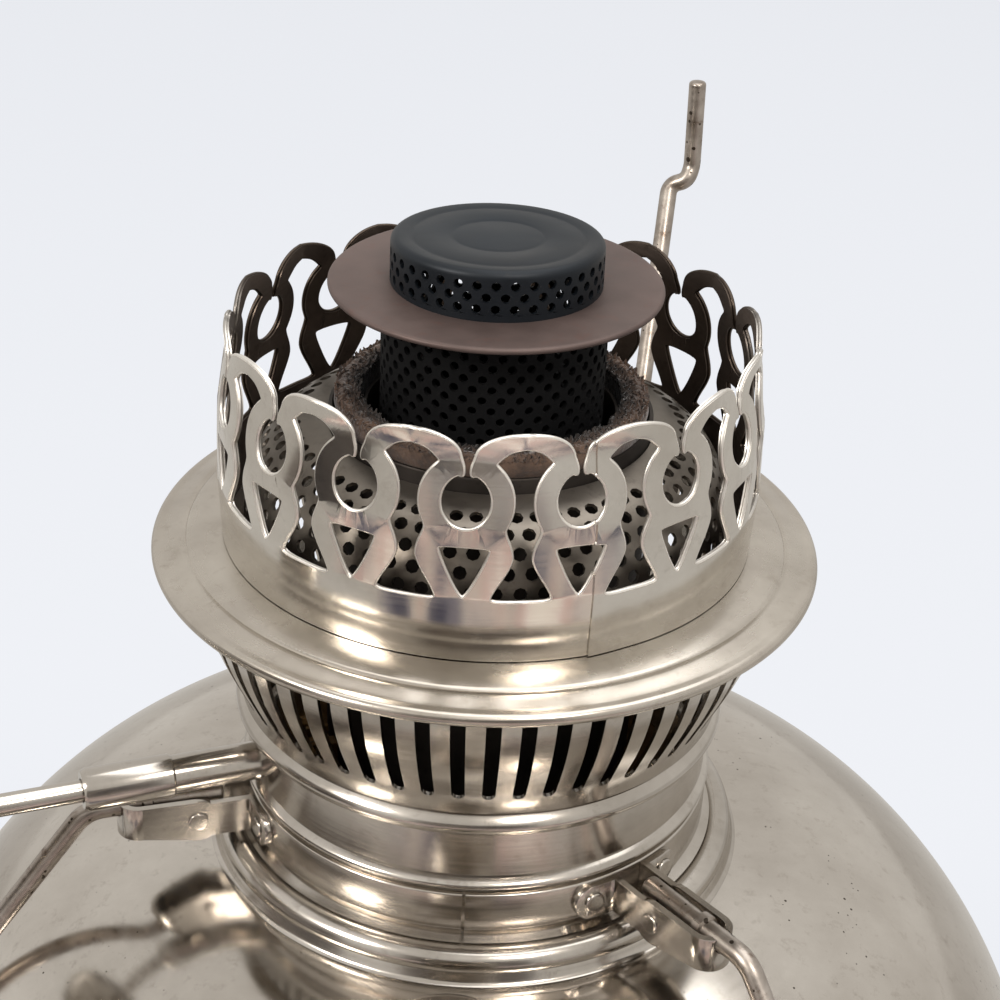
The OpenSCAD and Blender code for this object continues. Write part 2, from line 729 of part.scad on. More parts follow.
module holder_band()
    color("Silver") difference() {
        ring(band_in_r, band_r, band_z - band_h / 2, band_z + band_h / 2);
        for (k = [0:2]) at_ear(k) for (s = [-1, 1]) rotate([0, 0, s * foot_angle])
            spoke(rivet_r + fit, band_in_r - 2, band_r + 2, band_z);
    }

// Direction of a foot's rivet, seen from its ear
foot_angle = asin(foot_reach / ear_r);

// The bend closes round the wire by more than half, and its notch is open at the top
module ear(k) {
    half_foot = band_h / 2 - 0.3;
    bend_top = pivot_up + 0.6 * wire_r;
    bend_low = 1.4 - ear_half;
    color("Gainsboro") at_ear(k) translate([0, 0, band_z]) difference() {
        union() {
            for (s = [0, 1]) mirror([0, s, 0]) {
                translate([0, ear_gap + ear_t, 0]) rotate([90, 0, 0]) linear_extrude(ear_t) union() {
                    translate([cross_at, 0]) circle(r = ear_half);
                    translate([ear_in_r + 0.25, -half_foot]) square([cross_at - ear_in_r, 2 * half_foot]);
                    polygon([[cross_at, -ear_half], [ear_bend_at, bend_low],
                             [ear_bend_at, bend_top], [cross_at, ear_half]]);
                }
                intersection() {
                    ring(ear_in_r, ear_r, -half_foot, half_foot);
                    rotate([90, 0, 90]) translate([0, 0, ear_in_r - 4]) linear_extrude(8) union() {
                        translate([foot_reach, 0]) circle(r = half_foot);
                        translate([ear_gap, -half_foot]) square([foot_reach - ear_gap, 2 * half_foot]);
                    }
                }
            }
            translate([ear_bend_at, 0, bend_low]) rotate([0, 0, -90])
                rotate_extrude(angle = 180) translate([ear_gap, 0]) square([ear_t, bend_top - bend_low]);
        }
        spoke(wire_r + run / 2, ear_bend_at, ear_bend_at + 8, pivot_up);
        translate([cross_at, 0, 0]) rotate([90, 0, 0])
            cylinder(r = rivet_r + fit, h = 4 * (ear_gap + ear_t), center = true);
        for (s = [-1, 1]) rotate([0, 0, s * foot_angle]) spoke(rivet_r + fit, ear_in_r - 3, ear_r + 3, 0);
    }
}

module ear_left() ear(0);
module ear_right() ear(1);
module ear_back() ear(2);

module band_rivets()
    color("Silver") for (k = [0:2]) at_ear(k) for (s = [-1, 1]) rotate([0, 0, s * foot_angle]) union() {
        spoke(rivet_r, band_in_r + fit, ear_r + 0.2, band_z);
        translate([ear_r + fit, 0, band_z]) rotate([0, 90, 0]) rivet_head();
    }

module cross_rivets() {
    side = ear_gap + ear_t;
    color("Silver") for (k = [0:2]) at_ear(k) translate([cross_at, 0, band_z]) union() {
        rotate([90, 0, 0]) cylinder(r = rivet_r, h = 2 * side + 0.4, center = true);
        for (s = [0, 1]) mirror([0, s, 0]) translate([0, side + fit, 0]) rotate([-90, 0, 0]) rivet_head();
    }
}

// Wire that is drawn piece by piece along +X: each piece carries what follows it to its own end
module straight(len) {
    rotate([0, 90, 0]) cylinder(r = wire_r, h = len, $fn = 32);
    translate([len, 0, 0]) children();
}

// A hammered corner of the wire, towards a side: 0 is +Z, 90 is -Y
module corner(angle, side) {
    sphere(r = wire_r * corner_swell, $fn = 32);
    rotate([side, 0, 0]) rotate([0, -angle, 0]) rotate([-side, 0, 0]) children();
}

arm_start = ear_in_r + 3.85;
corner_swell = 1.02;
knee_len = 4;
jog_len = 3;
step_len = 2.5;
stop_r = wire_r + 0.4;
stop_w = 1.4;
stop_at = ear_bend_at - stop_w - 0.2;

module arm(k)
    color("DarkGray") at_ear(k) translate([arm_start, 0, pivot_z]) rotate([arm_turn[k], 0, 0]) union() {
        translate([stop_at - arm_start, 0, 0]) rotate([0, 90, 0]) cylinder(r = stop_r, h = stop_w, $fn = 32);
        straight(knee_at - knee_len / 2 - arm_start)
            corner(knee_bend / 2, 0) straight(knee_len) corner(knee_bend / 2, 0) straight(arm_len)
            corner(jog_bend, 90) straight(jog_len) corner(jog_bend - tip_lean, -90)
            straight(step_len) corner(90 - knee_bend, 0) straight(tip_len);
    }

module arm_left() arm(0);
module arm_right() arm(1);
module arm_back() arm(2);

foot_bar();
pedestal();
font_bowl();
font_shoulder();
font_seam();
draft_tube();
filler_neck();
collar();
burner_neck();
burner_floor();
slotted_bell();
flange_dish();
air_basket();
wick_tube();
raiser_bush();
packing_nut();
spindle_packing();
holder_band();
ear_left();
ear_right();
ear_back();
band_rivets();
cross_rivets();
gallery_crown();
spreader_tube();
spreader_disc();
spreader_cap();
wick();
wick_carrier();
rack();
spindle();
pinion();
knob();
knob_nut();
filler_cap();
filler_gasket();
arm_left();
arm_right();
arm_back();
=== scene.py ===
import math
import random

import bmesh
import bpy
from mathutils import Matrix, Vector


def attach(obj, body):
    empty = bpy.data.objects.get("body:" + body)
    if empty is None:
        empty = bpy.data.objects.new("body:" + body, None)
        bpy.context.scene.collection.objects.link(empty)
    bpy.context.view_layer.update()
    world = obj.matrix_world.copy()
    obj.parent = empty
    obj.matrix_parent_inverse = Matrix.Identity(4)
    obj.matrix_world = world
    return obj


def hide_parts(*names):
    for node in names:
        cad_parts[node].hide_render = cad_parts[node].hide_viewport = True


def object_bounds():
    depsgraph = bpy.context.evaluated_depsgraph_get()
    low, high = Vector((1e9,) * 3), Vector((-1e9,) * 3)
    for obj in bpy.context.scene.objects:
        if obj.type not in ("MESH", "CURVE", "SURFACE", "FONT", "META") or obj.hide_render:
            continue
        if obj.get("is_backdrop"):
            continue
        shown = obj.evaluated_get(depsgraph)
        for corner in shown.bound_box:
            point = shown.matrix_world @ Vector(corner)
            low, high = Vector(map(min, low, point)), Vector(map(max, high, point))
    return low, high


# Centre-draft kerosene table lamp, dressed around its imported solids. Sizes are in millimetres, as in the part.
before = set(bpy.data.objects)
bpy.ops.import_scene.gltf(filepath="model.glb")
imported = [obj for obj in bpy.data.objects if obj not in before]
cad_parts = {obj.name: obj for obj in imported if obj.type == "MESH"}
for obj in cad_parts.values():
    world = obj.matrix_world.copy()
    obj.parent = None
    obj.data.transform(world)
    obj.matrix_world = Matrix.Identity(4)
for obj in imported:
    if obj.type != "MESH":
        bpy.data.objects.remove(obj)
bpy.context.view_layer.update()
MM = 0.001
chance = random.Random(7)

# Levels and radii of the lamp, from the table up
RIM = 250.0
FONT_R = 87.5
FONT_Z = RIM - 103.5
BOWL_DEPTH = 62.0
BOWL_Z = FONT_Z - BOWL_DEPTH
BOWL_FLOOR_R = 36.0
SEAT_Z = RIM - 45.0
SEAT_R = 37.2
MOUTH_R = 30.0
SHEET = 0.8
FIT = 0.05
FOOT_R = 76.0
FOOT_Z = 4.2
SKIRT_H = 21.0
WAIST_R = 30.0
WAIST_DROP = 15.0
DISH_H = 2.45
CROWN_Z = RIM + DISH_H
LIP_R = 43.7
LIP_ROLL = 0.9
BELL_R = 38.6
BELL_TOP = RIM - LIP_ROLL - 0.1
BELL_H = 20.1
BELL_FOOT = BELL_TOP - BELL_H
TOP_BEAD_H = 4.1
PLAIN_TOP = BELL_FOOT - TOP_BEAD_H
LOW_BEAD = PLAIN_TOP - 6.6
LOW_BEAD_H = 2.2
SPIGOT_Z = LOW_BEAD - LOW_BEAD_H
NECK_R = 31.5
SPIGOT_R = 31.1
BAND_H = 5.7
BAND_Z = SPIGOT_Z - 0.2 - BAND_H / 2
BAND_IN = SPIGOT_R + FIT
BAND_OUT = BAND_IN + 0.9
EAR_OUT = BAND_OUT + FIT + 0.9
PIVOT_Z = BAND_Z + 2.4
EAR_AZ = {"left": 198.5, "right": -50.5, "back": 67.0}
RAISER_AZ = 201.5
RAISER_Z = RIM - 29.3
FILLER_AZ = -92.0
FILLER_AT = 57.0
FILLER_TOP = RIM - 36.6
DISC_Z = RIM + 36.65
WICK_TUBE_TOP = RIM + 19.5


def linear(hex6):
    """A colour written as sRGB hex, turned linear."""
    parts = [int(hex6[i:i + 2], 16) / 255 for i in (1, 3, 5)]
    return tuple(c / 12.92 if c <= 0.04045 else ((c + 0.055) / 1.055) ** 2.4 for c in parts) + (1.0,)


def node(tree, kind, inputs=None, ramp=None, **settings):
    """Adds a node with its settings, its values and its links."""
    made = tree.nodes.new(kind)
    for key, value in settings.items():
        setattr(made, key, value)
    for key, value in (inputs or {}).items():
        if isinstance(value, bpy.types.NodeSocket):
            tree.links.new(value, made.inputs[key])
        else:
            made.inputs[key].default_value = value
    if ramp:
        stops = made.color_ramp.elements
        while len(stops) < len(ramp):
            stops.new(0.5)
        for stop, (place, colour) in zip(stops, ramp):
            stop.position = place
            stop.color = colour if len(colour) == 4 else (*colour, 1.0)
    return made


def grey(level):
    return (level, level, level, 1.0)


def per_mm(size):
    """A texture's scale for a feature of that many millimetres."""
    return 1000.0 / size


def new_material(name):
    made = bpy.data.materials.new(name)
    made.use_nodes = True
    tree = made.node_tree
    shader = tree.nodes["Principled BSDF"]
    return made, tree, shader, node(tree, "ShaderNodeTexCoord").outputs["Object"]


def plated(name, light, dark, stain, rough, stained=0.35, pits=0.0, rings=0.25, cloud_mm=22.0, far_shade_colour=None):
    """Metal with clouds of tarnish, small stains, lathe rings, pits, and painted shade: another colour on the lamp's
    far side.
    """
    made, tree, shader, place = new_material(name)
    cloud = node(tree, "ShaderNodeTexNoise", {"Vector": place, "Scale": per_mm(cloud_mm), "Detail": 6.0,
                                              "Roughness": 0.62})
    tone = node(tree, "ShaderNodeValToRGB", {"Fac": cloud.outputs["Fac"]},
                ramp=[(0.3, linear(dark)), (0.68, linear(light))])
    speck = node(tree, "ShaderNodeTexNoise", {"Vector": place, "Scale": per_mm(2.4), "Detail": 5.0,
                                              "Roughness": 0.7})
    spotted = node(tree, "ShaderNodeValToRGB", {"Fac": speck.outputs["Fac"]},
                   ramp=[(0.56, grey(0.0)), (0.74, grey(stained))])
    colour = node(tree, "ShaderNodeMix", {"Factor": spotted.outputs["Color"], 6: tone.outputs["Color"],
                                          7: linear(stain)}, data_type="RGBA")
    turned = node(tree, "ShaderNodeMapping", {"Vector": place, "Scale": (60.0, 60.0, per_mm(0.45))})
    ring = node(tree, "ShaderNodeTexNoise", {"Vector": turned.outputs["Vector"], "Scale": 1.0, "Detail": 3.0})
    smear = node(tree, "ShaderNodeMix", {"Factor": 0.45, 2: cloud.outputs["Fac"], 3: ring.outputs["Fac"]})
    gloss = node(tree, "ShaderNodeMapRange", {"Value": smear.outputs[0], "From Min": 0.3, "From Max": 0.7,
                                              "To Min": rough[0], "To Max": rough[1]})
    relief = node(tree, "ShaderNodeMath", {0: ring.outputs["Fac"], 1: rings}, operation="MULTIPLY")
    finish, height = colour.outputs[2], relief.outputs[0]
    if pits:
        cell = node(tree, "ShaderNodeTexVoronoi", {"Vector": place, "Scale": per_mm(1.5), "Randomness": 1.0})
        gate = node(tree, "ShaderNodeTexNoise", {"Vector": place, "Scale": per_mm(9.0), "Detail": 2.0})
        reach = node(tree, "ShaderNodeMapRange", {"Value": gate.outputs["Fac"], "From Min": 0.42, "From Max": 0.7,
                                                  "To Min": 0.0, "To Max": 0.13 * pits})
        pit = node(tree, "ShaderNodeMath", {0: cell.outputs["Distance"], 1: reach.outputs["Result"]},
                   operation="LESS_THAN")
        dug = node(tree, "ShaderNodeMix", {"Factor": pit.outputs[0], 6: finish, 7: linear("#4a423b")},
                   data_type="RGBA")
        sunk = node(tree, "ShaderNodeMath", {0: height, 1: pit.outputs[0]}, operation="SUBTRACT")
        finish, height = dug.outputs[2], sunk.outputs[0]
    # Painted shade: the colour turns to another towards the lamp's far side
    if far_shade_colour:
        apart = node(tree, "ShaderNodeSeparateXYZ", {"Vector": place})
        far = node(tree, "ShaderNodeMapRange", {"Value": apart.outputs["Y"], "From Min": -14 * MM, "From Max": 8 * MM})
        far_painted_shade = node(tree, "ShaderNodeMix", {"Factor": far.outputs["Result"], 6: finish, 7: linear(far_shade_colour)},
                      data_type="RGBA")
        finish = far_painted_shade.outputs[2]
    bump = node(tree, "ShaderNodeBump", {"Height": height, "Strength": 0.16, "Distance": 0.00012})
    tree.links.new(finish, shader.inputs["Base Color"])
    tree.links.new(gloss.outputs["Result"], shader.inputs["Roughness"])
    tree.links.new(bump.outputs["Normal"], shader.inputs["Normal"])
    shader.inputs["Metallic"].default_value = 1.0
    return made


# Nickel plate on spun brass: a grey mirror, hazed by rubbing and clouded by age
nickel = plated("worn_nickel_plate", "#c6c0b8", "#a19a91", "#857a6e", (0.12, 0.26))
# The same plate on the font, brighter, with dark pin holes that moisture has left
pitted_nickel = plated("pitted_nickel_plate", "#cac4bc", "#aba49b", "#877c70", (0.08, 0.2), pits=1.0, cloud_mm=34.0)
# The flange is rubbed to a satin that only shows soft shapes
satin_nickel = plated("satin_nickel_plate", "#c2bbb1", "#a59d93", "#8d8174", (0.2, 0.32), rings=0.5)
# Thin bright plate on the gallery's outside, hardly touched by polish
bright_nickel = plated("bright_nickel_plate", "#dcd8d1", "#bbb5ac", "#9c9388", (0.08, 0.2), stained=0.25, rings=0.1)
# The inside of the gallery: plate browned by the flame, nearly matt
browned = plated("flame_browned_nickel", "#746860", "#544a44", "#3a322d", (0.34, 0.6), stained=0.5, rings=0.1)
# Cut edges of the gallery: a bright colour in front as painted highlight, and brown on the far side as painted shade
edge_highlight_and_shade = plated("edge_painted_highlight_and_shade", "#f0ece6", "#d6d1ca", "#aaa197", (0.3, 0.45), far_shade_colour="#4b423b")
# The perforated basket: dull cream plate with a sooty bloom
dull_nickel = plated("dull_nickel_plate", "#8d867d", "#665f57", "#453e37", (0.3, 0.5), stained=0.5, rings=0.1)
# Wire of the shade arms: plating mostly gone, rusty pits close together
pitted_wire = plated("pitted_steel_wire", "#bab2aa", "#867b71", "#5d4738", (0.24, 0.5), stained=0.9, pits=2.8,
                     rings=0.2, cloud_mm=6.0)
# Brass under the burner's floor: brown with age, satin
aged_brass = plated("aged_brass", "#a5875a", "#6c5234", "#3d2f22", (0.3, 0.52), stained=0.6)
# Brass tubes that the wick runs between, dull with soot
sooty_brass = plated("sooty_brass", "#4c4743", "#2d2927", "#1a1816", (0.4, 0.6), stained=0.6)
# Flame spreader: steel under blue-black heat scale, satin and a little dusty
black_steel = plated("blue_black_heat_scale", "#1b2229", "#12171d", "#33322f", (0.42, 0.62), stained=0.25, rings=0.05)
black_steel.node_tree.nodes["Principled BSDF"].inputs["Metallic"].default_value = 0.5
# The tube under the disc: the same scale, black with soot
soot_steel = plated("soot_black_steel", "#08090b", "#050506", "#0d0d0e", (0.6, 0.78), stained=0.25, rings=0.05)
soot_steel.node_tree.nodes["Principled BSDF"].inputs["Metallic"].default_value = 0.0
soot_steel.node_tree.nodes["Principled BSDF"].inputs["Specular IOR Level"].default_value = 0.2
# The spreader's disc: brown iron oxide over grey steel, matt
scorched = plated("scorched_steel", "#6a5a55", "#4c3f3b", "#62433a", (0.44, 0.64), stained=0.45, rings=0.1)
scorched.node_tree.nodes["Principled BSDF"].inputs["Metallic"].default_value = 0.5


def charred_shaded_cotton():
    """Woven cotton wick: brown fuzzy yarn that turns black towards the flame spreader, its tones darkened throughout
    as painted shade from the gallery over it.
    """
    made, tree, shader, place = new_material("charred_shaded_cotton")
    apart = node(tree, "ShaderNodeSeparateXYZ", {"Vector": place})
    flat = node(tree, "ShaderNodeCombineXYZ", {"X": apart.outputs["X"], "Y": apart.outputs["Y"], "Z": 0.0})
    far = node(tree, "ShaderNodeVectorMath", {0: flat.outputs["Vector"]}, operation="LENGTH")
    tuft = node(tree, "ShaderNodeTexNoise", {"Vector": place, "Scale": per_mm(3.0), "Detail": 8.0,
                                             "Roughness": 0.75})
    out = node(tree, "ShaderNodeMapRange", {"Value": far.outputs["Value"], "From Min": 16.3 * MM,
                                            "From Max": 19.0 * MM, "To Min": -0.22, "To Max": 0.28})
    burnt = node(tree, "ShaderNodeMath", {0: tuft.outputs["Fac"], 1: out.outputs["Result"]}, operation="ADD")
    # Char and painted shade: the tones are dark throughout for the gallery's shade, and darkest near the spreader for
    # the char
    shade = node(tree, "ShaderNodeValToRGB", {"Fac": burnt.outputs[0]},
                 ramp=[(0.3, linear("#120f0d")), (0.47, linear("#2e241e")), (0.66, linear("#43342b")),
                       (0.95, linear("#664f3f"))])
    yarn = node(tree, "ShaderNodeTexNoise", {"Vector": place, "Scale": per_mm(0.6), "Detail": 4.0})
    bump = node(tree, "ShaderNodeBump", {"Height": yarn.outputs["Fac"], "Strength": 0.6, "Distance": 0.0004})
    tree.links.new(shade.outputs["Color"], shader.inputs["Base Color"])
    tree.links.new(bump.outputs["Normal"], shader.inputs["Normal"])
    shader.inputs["Roughness"].default_value = 0.95
    shader.inputs["Sheen Weight"].default_value = 0.35
    shader.inputs["Sheen Roughness"].default_value = 0.5
    return made


def pressed_cork():
    """Cork of the gasket and the packing: brown grains with dark pores."""
    made, tree, shader, place = new_material("pressed_cork")
    grain = node(tree, "ShaderNodeTexVoronoi", {"Vector": place, "Scale": per_mm(0.9)})
    shade = node(tree, "ShaderNodeValToRGB", {"Fac": grain.outputs["Distance"]},
                 ramp=[(0.1, linear("#a97c4f")), (0.7, linear("#5f4127"))])
    bump = node(tree, "ShaderNodeBump", {"Height": grain.outputs["Distance"], "Strength": 0.4, "Distance": 0.0003})
    tree.links.new(shade.outputs["Color"], shader.inputs["Base Color"])
    tree.links.new(bump.outputs["Normal"], shader.inputs["Normal"])
    shader.inputs["Roughness"].default_value = 0.85
    return made


cotton = charred_shaded_cotton()
cork = pressed_cork()


def curve(a, b, c, d, n):
    """Points of a cubic curve from a to d, steered by b and c."""
    out = []
    for i in range(n + 1):
        t = i / n
        u = 1 - t
        out.append(tuple(u ** 3 * a[k] + 3 * u * u * t * b[k] + 3 * u * t * t * c[k] + t ** 3 * d[k] for k in (0, 1)))
    return out


def arc(x, y, r, a0, a1, n, squeeze=1.0):
    """Points of an arc round x, y, its second direction squeezed."""
    turns = [math.radians(a0 + (a1 - a0) * i / n) for i in range(n + 1)]
    return [(x + r * math.cos(a), y + r * squeeze * math.sin(a)) for a in turns]


def bead(r0, r1, z0, h, n):
    """A bead's outline: it swells from one radius to another and back over its height."""
    return [(r0 + (r1 - r0) * math.sin(math.pi * i / n), z0 + h * i / n) for i in range(n + 1)]


def walled(points, t):
    """A line and the line that lies a thickness to its left, as one closed outline."""
    back = []
    for i in range(len(points) - 1, -1, -1):
        a, b = points[max(i - 1, 0)], points[min(i + 1, len(points) - 1)]
        dx, dy = b[0] - a[0], b[1] - a[1]
        size = math.hypot(dx, dy)
        back.append((points[i][0] - dy / size * t, points[i][1] + dx / size * t))
    return list(points) + back


def lathe(bm, outline, steps=192, closed=True, start=0.0, sweep=360.0):
    """Spins an outline of radius and height round the lamp's axis."""
    turn = Matrix.Rotation(math.radians(start), 4, "Z")
    verts = [bm.verts.new(turn @ Vector((r * MM, 0, z * MM))) for r, z in outline]
    pairs = list(zip(verts, verts[1:])) + ([(verts[-1], verts[0])] if closed else [])
    edges = [bm.edges.new(p) for p in pairs]
    whole = sweep >= 360.0
    made = bmesh.ops.spin(bm, geom=verts + edges, cent=(0, 0, 0), axis=(0, 0, 1), dvec=(0, 0, 0),
                          angle=math.radians(sweep), steps=steps, use_merge=whole)
    if not whole:
        bmesh.ops.contextual_create(bm, geom=edges)
        bmesh.ops.contextual_create(bm, geom=[e for e in made["geom_last"] if isinstance(e, bmesh.types.BMEdge)])
    return bm


def piece(name, bm, materials, body, stands_for=(), sharp=38.0, merge=1e-6, thick=0.0, inside=0.0):
    """Closes a mesh, rounds its shading up to sharp edges, gives sheet its wall, and hangs it on its body."""
    bmesh.ops.remove_doubles(bm, verts=bm.verts[:], dist=merge)
    bmesh.ops.recalc_face_normals(bm, faces=bm.faces[:])
    if thick:
        bm.normal_update()
        spots = [(f.normal, f.calc_center_median() - Vector((0, 0, inside * MM)), f.calc_area()) for f in bm.faces]
        if sum(n.dot(c) * area for n, c, area in spots) < 0:
            bmesh.ops.reverse_faces(bm, faces=bm.faces[:])
    for face in bm.faces:
        face.smooth = True
    limit = math.radians(sharp)
    for edge in bm.edges:
        edge.smooth = len(edge.link_faces) == 2 and edge.calc_face_angle(0.0) < limit
    mesh = bpy.data.meshes.new(name)
    bm.to_mesh(mesh)
    bm.free()
    made = bpy.data.objects.new(name, mesh)
    bpy.context.scene.collection.objects.link(made)
    finishes = materials if isinstance(materials, (list, tuple)) else [materials]
    for material in finishes:
        mesh.materials.append(material)
    if thick:
        wall = made.modifiers.new("sheet", "SOLIDIFY")
        wall.thickness = thick * MM
        wall.offset = -1.0
        wall.material_offset = min(1, len(finishes) - 1)
        wall.material_offset_rim = len(finishes) - 1
    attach(made, body)
    if stands_for:
        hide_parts(*([stands_for] if isinstance(stands_for, str) else stands_for))
    return made


def turned(name, outline, material, body, stands_for, slot, steps=192, matrix=None, **more):
    """A piece that is one closed outline spun round an axis."""
    bm = lathe(bmesh.new(), outline, steps, **more)
    if matrix:
        bmesh.ops.transform(bm, matrix=matrix, verts=bm.verts[:])
    return piece(name, bm, material, body, stands_for)


def facing(azimuth, distance, height):
    """Takes +Z to point outwards from the lamp's axis, at a distance and a height."""
    return (Matrix.Translation((0, 0, height * MM)) @ Matrix.Rotation(math.radians(azimuth), 4, "Z")
            @ Matrix.Translation((distance * MM, 0, 0)) @ Matrix.Rotation(math.radians(90), 4, "Y"))


# Font: shoulder, bowl and the rolled seam between them
shoulder = curve((FONT_R, FONT_Z), (FONT_R, FONT_Z + 28.5), (SEAT_R + 29, SEAT_Z - 0.2), (SEAT_R, SEAT_Z), 64)
turned("font_shoulder_plate", walled(shoulder + [(SEAT_R - 1, SEAT_Z), (MOUTH_R, SEAT_Z)], SHEET), pitted_nickel,
       "lamp", "font_shoulder", "nickel_plate", 256)
side = [(BOWL_FLOOR_R + (FONT_R - BOWL_FLOOR_R) * math.cos(a), FONT_Z - BOWL_DEPTH * math.sin(a))
        for a in [math.radians(90 - 1.5 * i) for i in range(61)]]
turned("font_bowl_plate", walled([(16.5, BOWL_Z), (BOWL_FLOOR_R - 1, BOWL_Z)] + side, SHEET), pitted_nickel,
       "lamp", "font_bowl", "nickel_plate", 256)
turned("font_seam_bead", [(FONT_R + FIT, FONT_Z - 2.2)] + arc(FONT_R + FIT, FONT_Z, 2.2, -85, 85, 20)
       + [(FONT_R + FIT, FONT_Z + 2.2)], nickel, "lamp", "font_seam", "nickel_plate", 256)


def perforated(bm, path, count, rows, hole, corners=8):
    """Tiles a surface of revolution with round holes. A row is its start, its end, its shift and whether it is holed."""
    for low, high, shift, holed in rows:
        here = bmesh.ops.create_circle(bm, segments=corners, radius=1.0)["verts"]
        inner = list({e for v in here for e in v.link_edges})
        spread = bmesh.ops.extrude_edge_only(bm, edges=inner)["geom"]
        rim = [g for g in spread if isinstance(g, bmesh.types.BMVert)]
        middle = path((low + high) / 2)
        wide = 2 * math.pi * middle[0] / count
        for v in rim:
            v.co *= 0.5 / max(abs(v.co.x), abs(v.co.y))
        for v in here:
            v.co.x *= hole / wide
            v.co.y *= hole / (high - low)
        tile = here + rim
        if not holed:
            bmesh.ops.contextual_create(bm, geom=inner)
        for v in tile:
            r, z = path(low + (v.co.y + 0.5) * (high - low))
            a = (v.co.x + shift) * 2 * math.pi / count
            v.co = (r * MM * math.cos(a), r * MM * math.sin(a), z * MM)
        faces = list({f for v in tile for f in v.link_faces})
        edges = list({e for v in tile for e in v.link_edges})
        bmesh.ops.spin(bm, geom=tile + edges + faces, cent=(0, 0, 0), axis=(0, 0, 1), dvec=(0, 0, 0),
                       angle=2 * math.pi * (count - 1) / count, steps=count - 1, use_duplicate=True)
    return bm


def along(points):
    """A place on a line by its length in millimetres, and the line's whole length."""
    sums = [0.0]
    for a, b in zip(points, points[1:]):
        sums.append(sums[-1] + math.hypot(b[0] - a[0], b[1] - a[1]))

    def at(s):
        s = min(max(s, 0.0), sums[-1])
        i = max(k for k in range(len(sums) - 1) if sums[k] <= s or k == 0)
        t = (s - sums[i]) / (sums[i + 1] - sums[i])
        return tuple(points[i][k] + t * (points[i + 1][k] - points[i][k]) for k in (0, 1))
    return at, sums[-1]


# Pedestal: an upright skirt with a row of draft holes, a flare and a waist
waist_z = BOWL_Z - WAIST_DROP
belly = (SKIRT_H + waist_z) / 2
flare = curve((FOOT_R, SKIRT_H), (FOOT_R, belly), (WAIST_R, belly), (WAIST_R, waist_z), 48)
throat = curve((WAIST_R, waist_z), (WAIST_R, waist_z + WAIST_DROP / 2), (BOWL_FLOOR_R - 2, BOWL_Z - WAIST_DROP / 4),
               (BOWL_FLOOR_R, BOWL_Z), 16)
skirt, skirt_len = along([(FOOT_R, FOOT_Z), (FOOT_R, SKIRT_H)])
bm = perforated(bmesh.new(), skirt, 20, [(0.0, skirt_len, 0.5, True)], 4.2, corners=32)
lathe(bm, flare + throat[1:], 160, closed=False)
piece("pedestal_plate", bm, pitted_nickel, "lamp", "pedestal", thick=SHEET, merge=2e-5,
      inside=40.0)
turned("foot_ring", [(FOOT_R - 2.8, 0)] + arc(FOOT_R, FOOT_Z - 3.0, 3.0, -24, 204, 40)[:-1], nickel, "lamp",
       "foot_bar", "nickel_plate", 256)

# Filler: neck on the shoulder, and its cap with a milled edge
to_filler = (Matrix.Rotation(math.radians(FILLER_AZ), 4, "Z") @ Matrix.Translation((FILLER_AT * MM, 0, 0)))
cap_low, cap_r = FILLER_TOP - 6.9, 10.0
bm = lathe(bmesh.new(), [(8.5, cap_low), (cap_r - 0.3, cap_low), (cap_r, cap_low + 0.3), (cap_r, FILLER_TOP - 1.3)]
           + arc(cap_r - 1.3, FILLER_TOP - 1.3, 1.3, 0, 90, 8) + [(5.2, FILLER_TOP - 0.05), (4.6, FILLER_TOP - 0.3),
           (0, FILLER_TOP - 0.3), (0, FILLER_TOP - 0.8), (8.5, FILLER_TOP - 0.8)], 144)
for v in bm.verts:
    ring = math.hypot(v.co.x, v.co.y)
    ridge = round(math.degrees(math.atan2(v.co.y, v.co.x)) / 2.5) % 2
    if ring > (cap_r - 0.02) * MM and ridge and cap_low + 0.6 < v.co.z / MM:
        v.co.x *= 0.975
        v.co.y *= 0.975
bmesh.ops.transform(bm, matrix=to_filler, verts=bm.verts[:])
piece("filler_cap_shell", bm, nickel, "filler_lid", "filler_cap", sharp=30)

# Neck collar, burner neck and band
in_r = SPIGOT_R + FIT
bead_z = SEAT_Z + 2.1
turned("collar_ring", [(in_r, SEAT_Z), (37.1, SEAT_Z + 0.03), (36.75, SEAT_Z + 0.2), (36.5, SEAT_Z + 0.55),
                       (36.35, SEAT_Z + 1.1)] + arc(34.1, bead_z, 2.1, -15, 118, 24)
       + [(32.6, bead_z + 2.0), (in_r, BAND_Z - BAND_H / 2 - 0.3)], nickel, "lamp", "collar", "nickel_plate", 256)
neck = ([(SPIGOT_R, SEAT_Z)] + bead(SPIGOT_R, 32.3, SPIGOT_Z, LOW_BEAD_H, 18) + [(NECK_R, LOW_BEAD + 0.4)]
        + [(NECK_R, PLAIN_TOP - 0.5)] + bead(NECK_R, 33.2, PLAIN_TOP, TOP_BEAD_H, 24))
turned("burner_neck_tube", walled(neck, SHEET), nickel, "lamp", "burner_neck", "nickel_plate", 256)
half = BAND_H / 2
band = [(BAND_IN, BAND_Z - half), (BAND_OUT - 0.25, BAND_Z - half)] + arc(
    BAND_OUT - 0.3, BAND_Z - half + 0.3, 0.3, -80, 0, 4) + arc(BAND_OUT - 0.3, BAND_Z + half - 0.3, 0.3, 0, 80, 4) + [
    (BAND_IN, BAND_Z + half)]
turned("shade_band", band, nickel, "lamp", "holder_band", "nickel_plate", 256, start=-91.0, sweep=359.2)

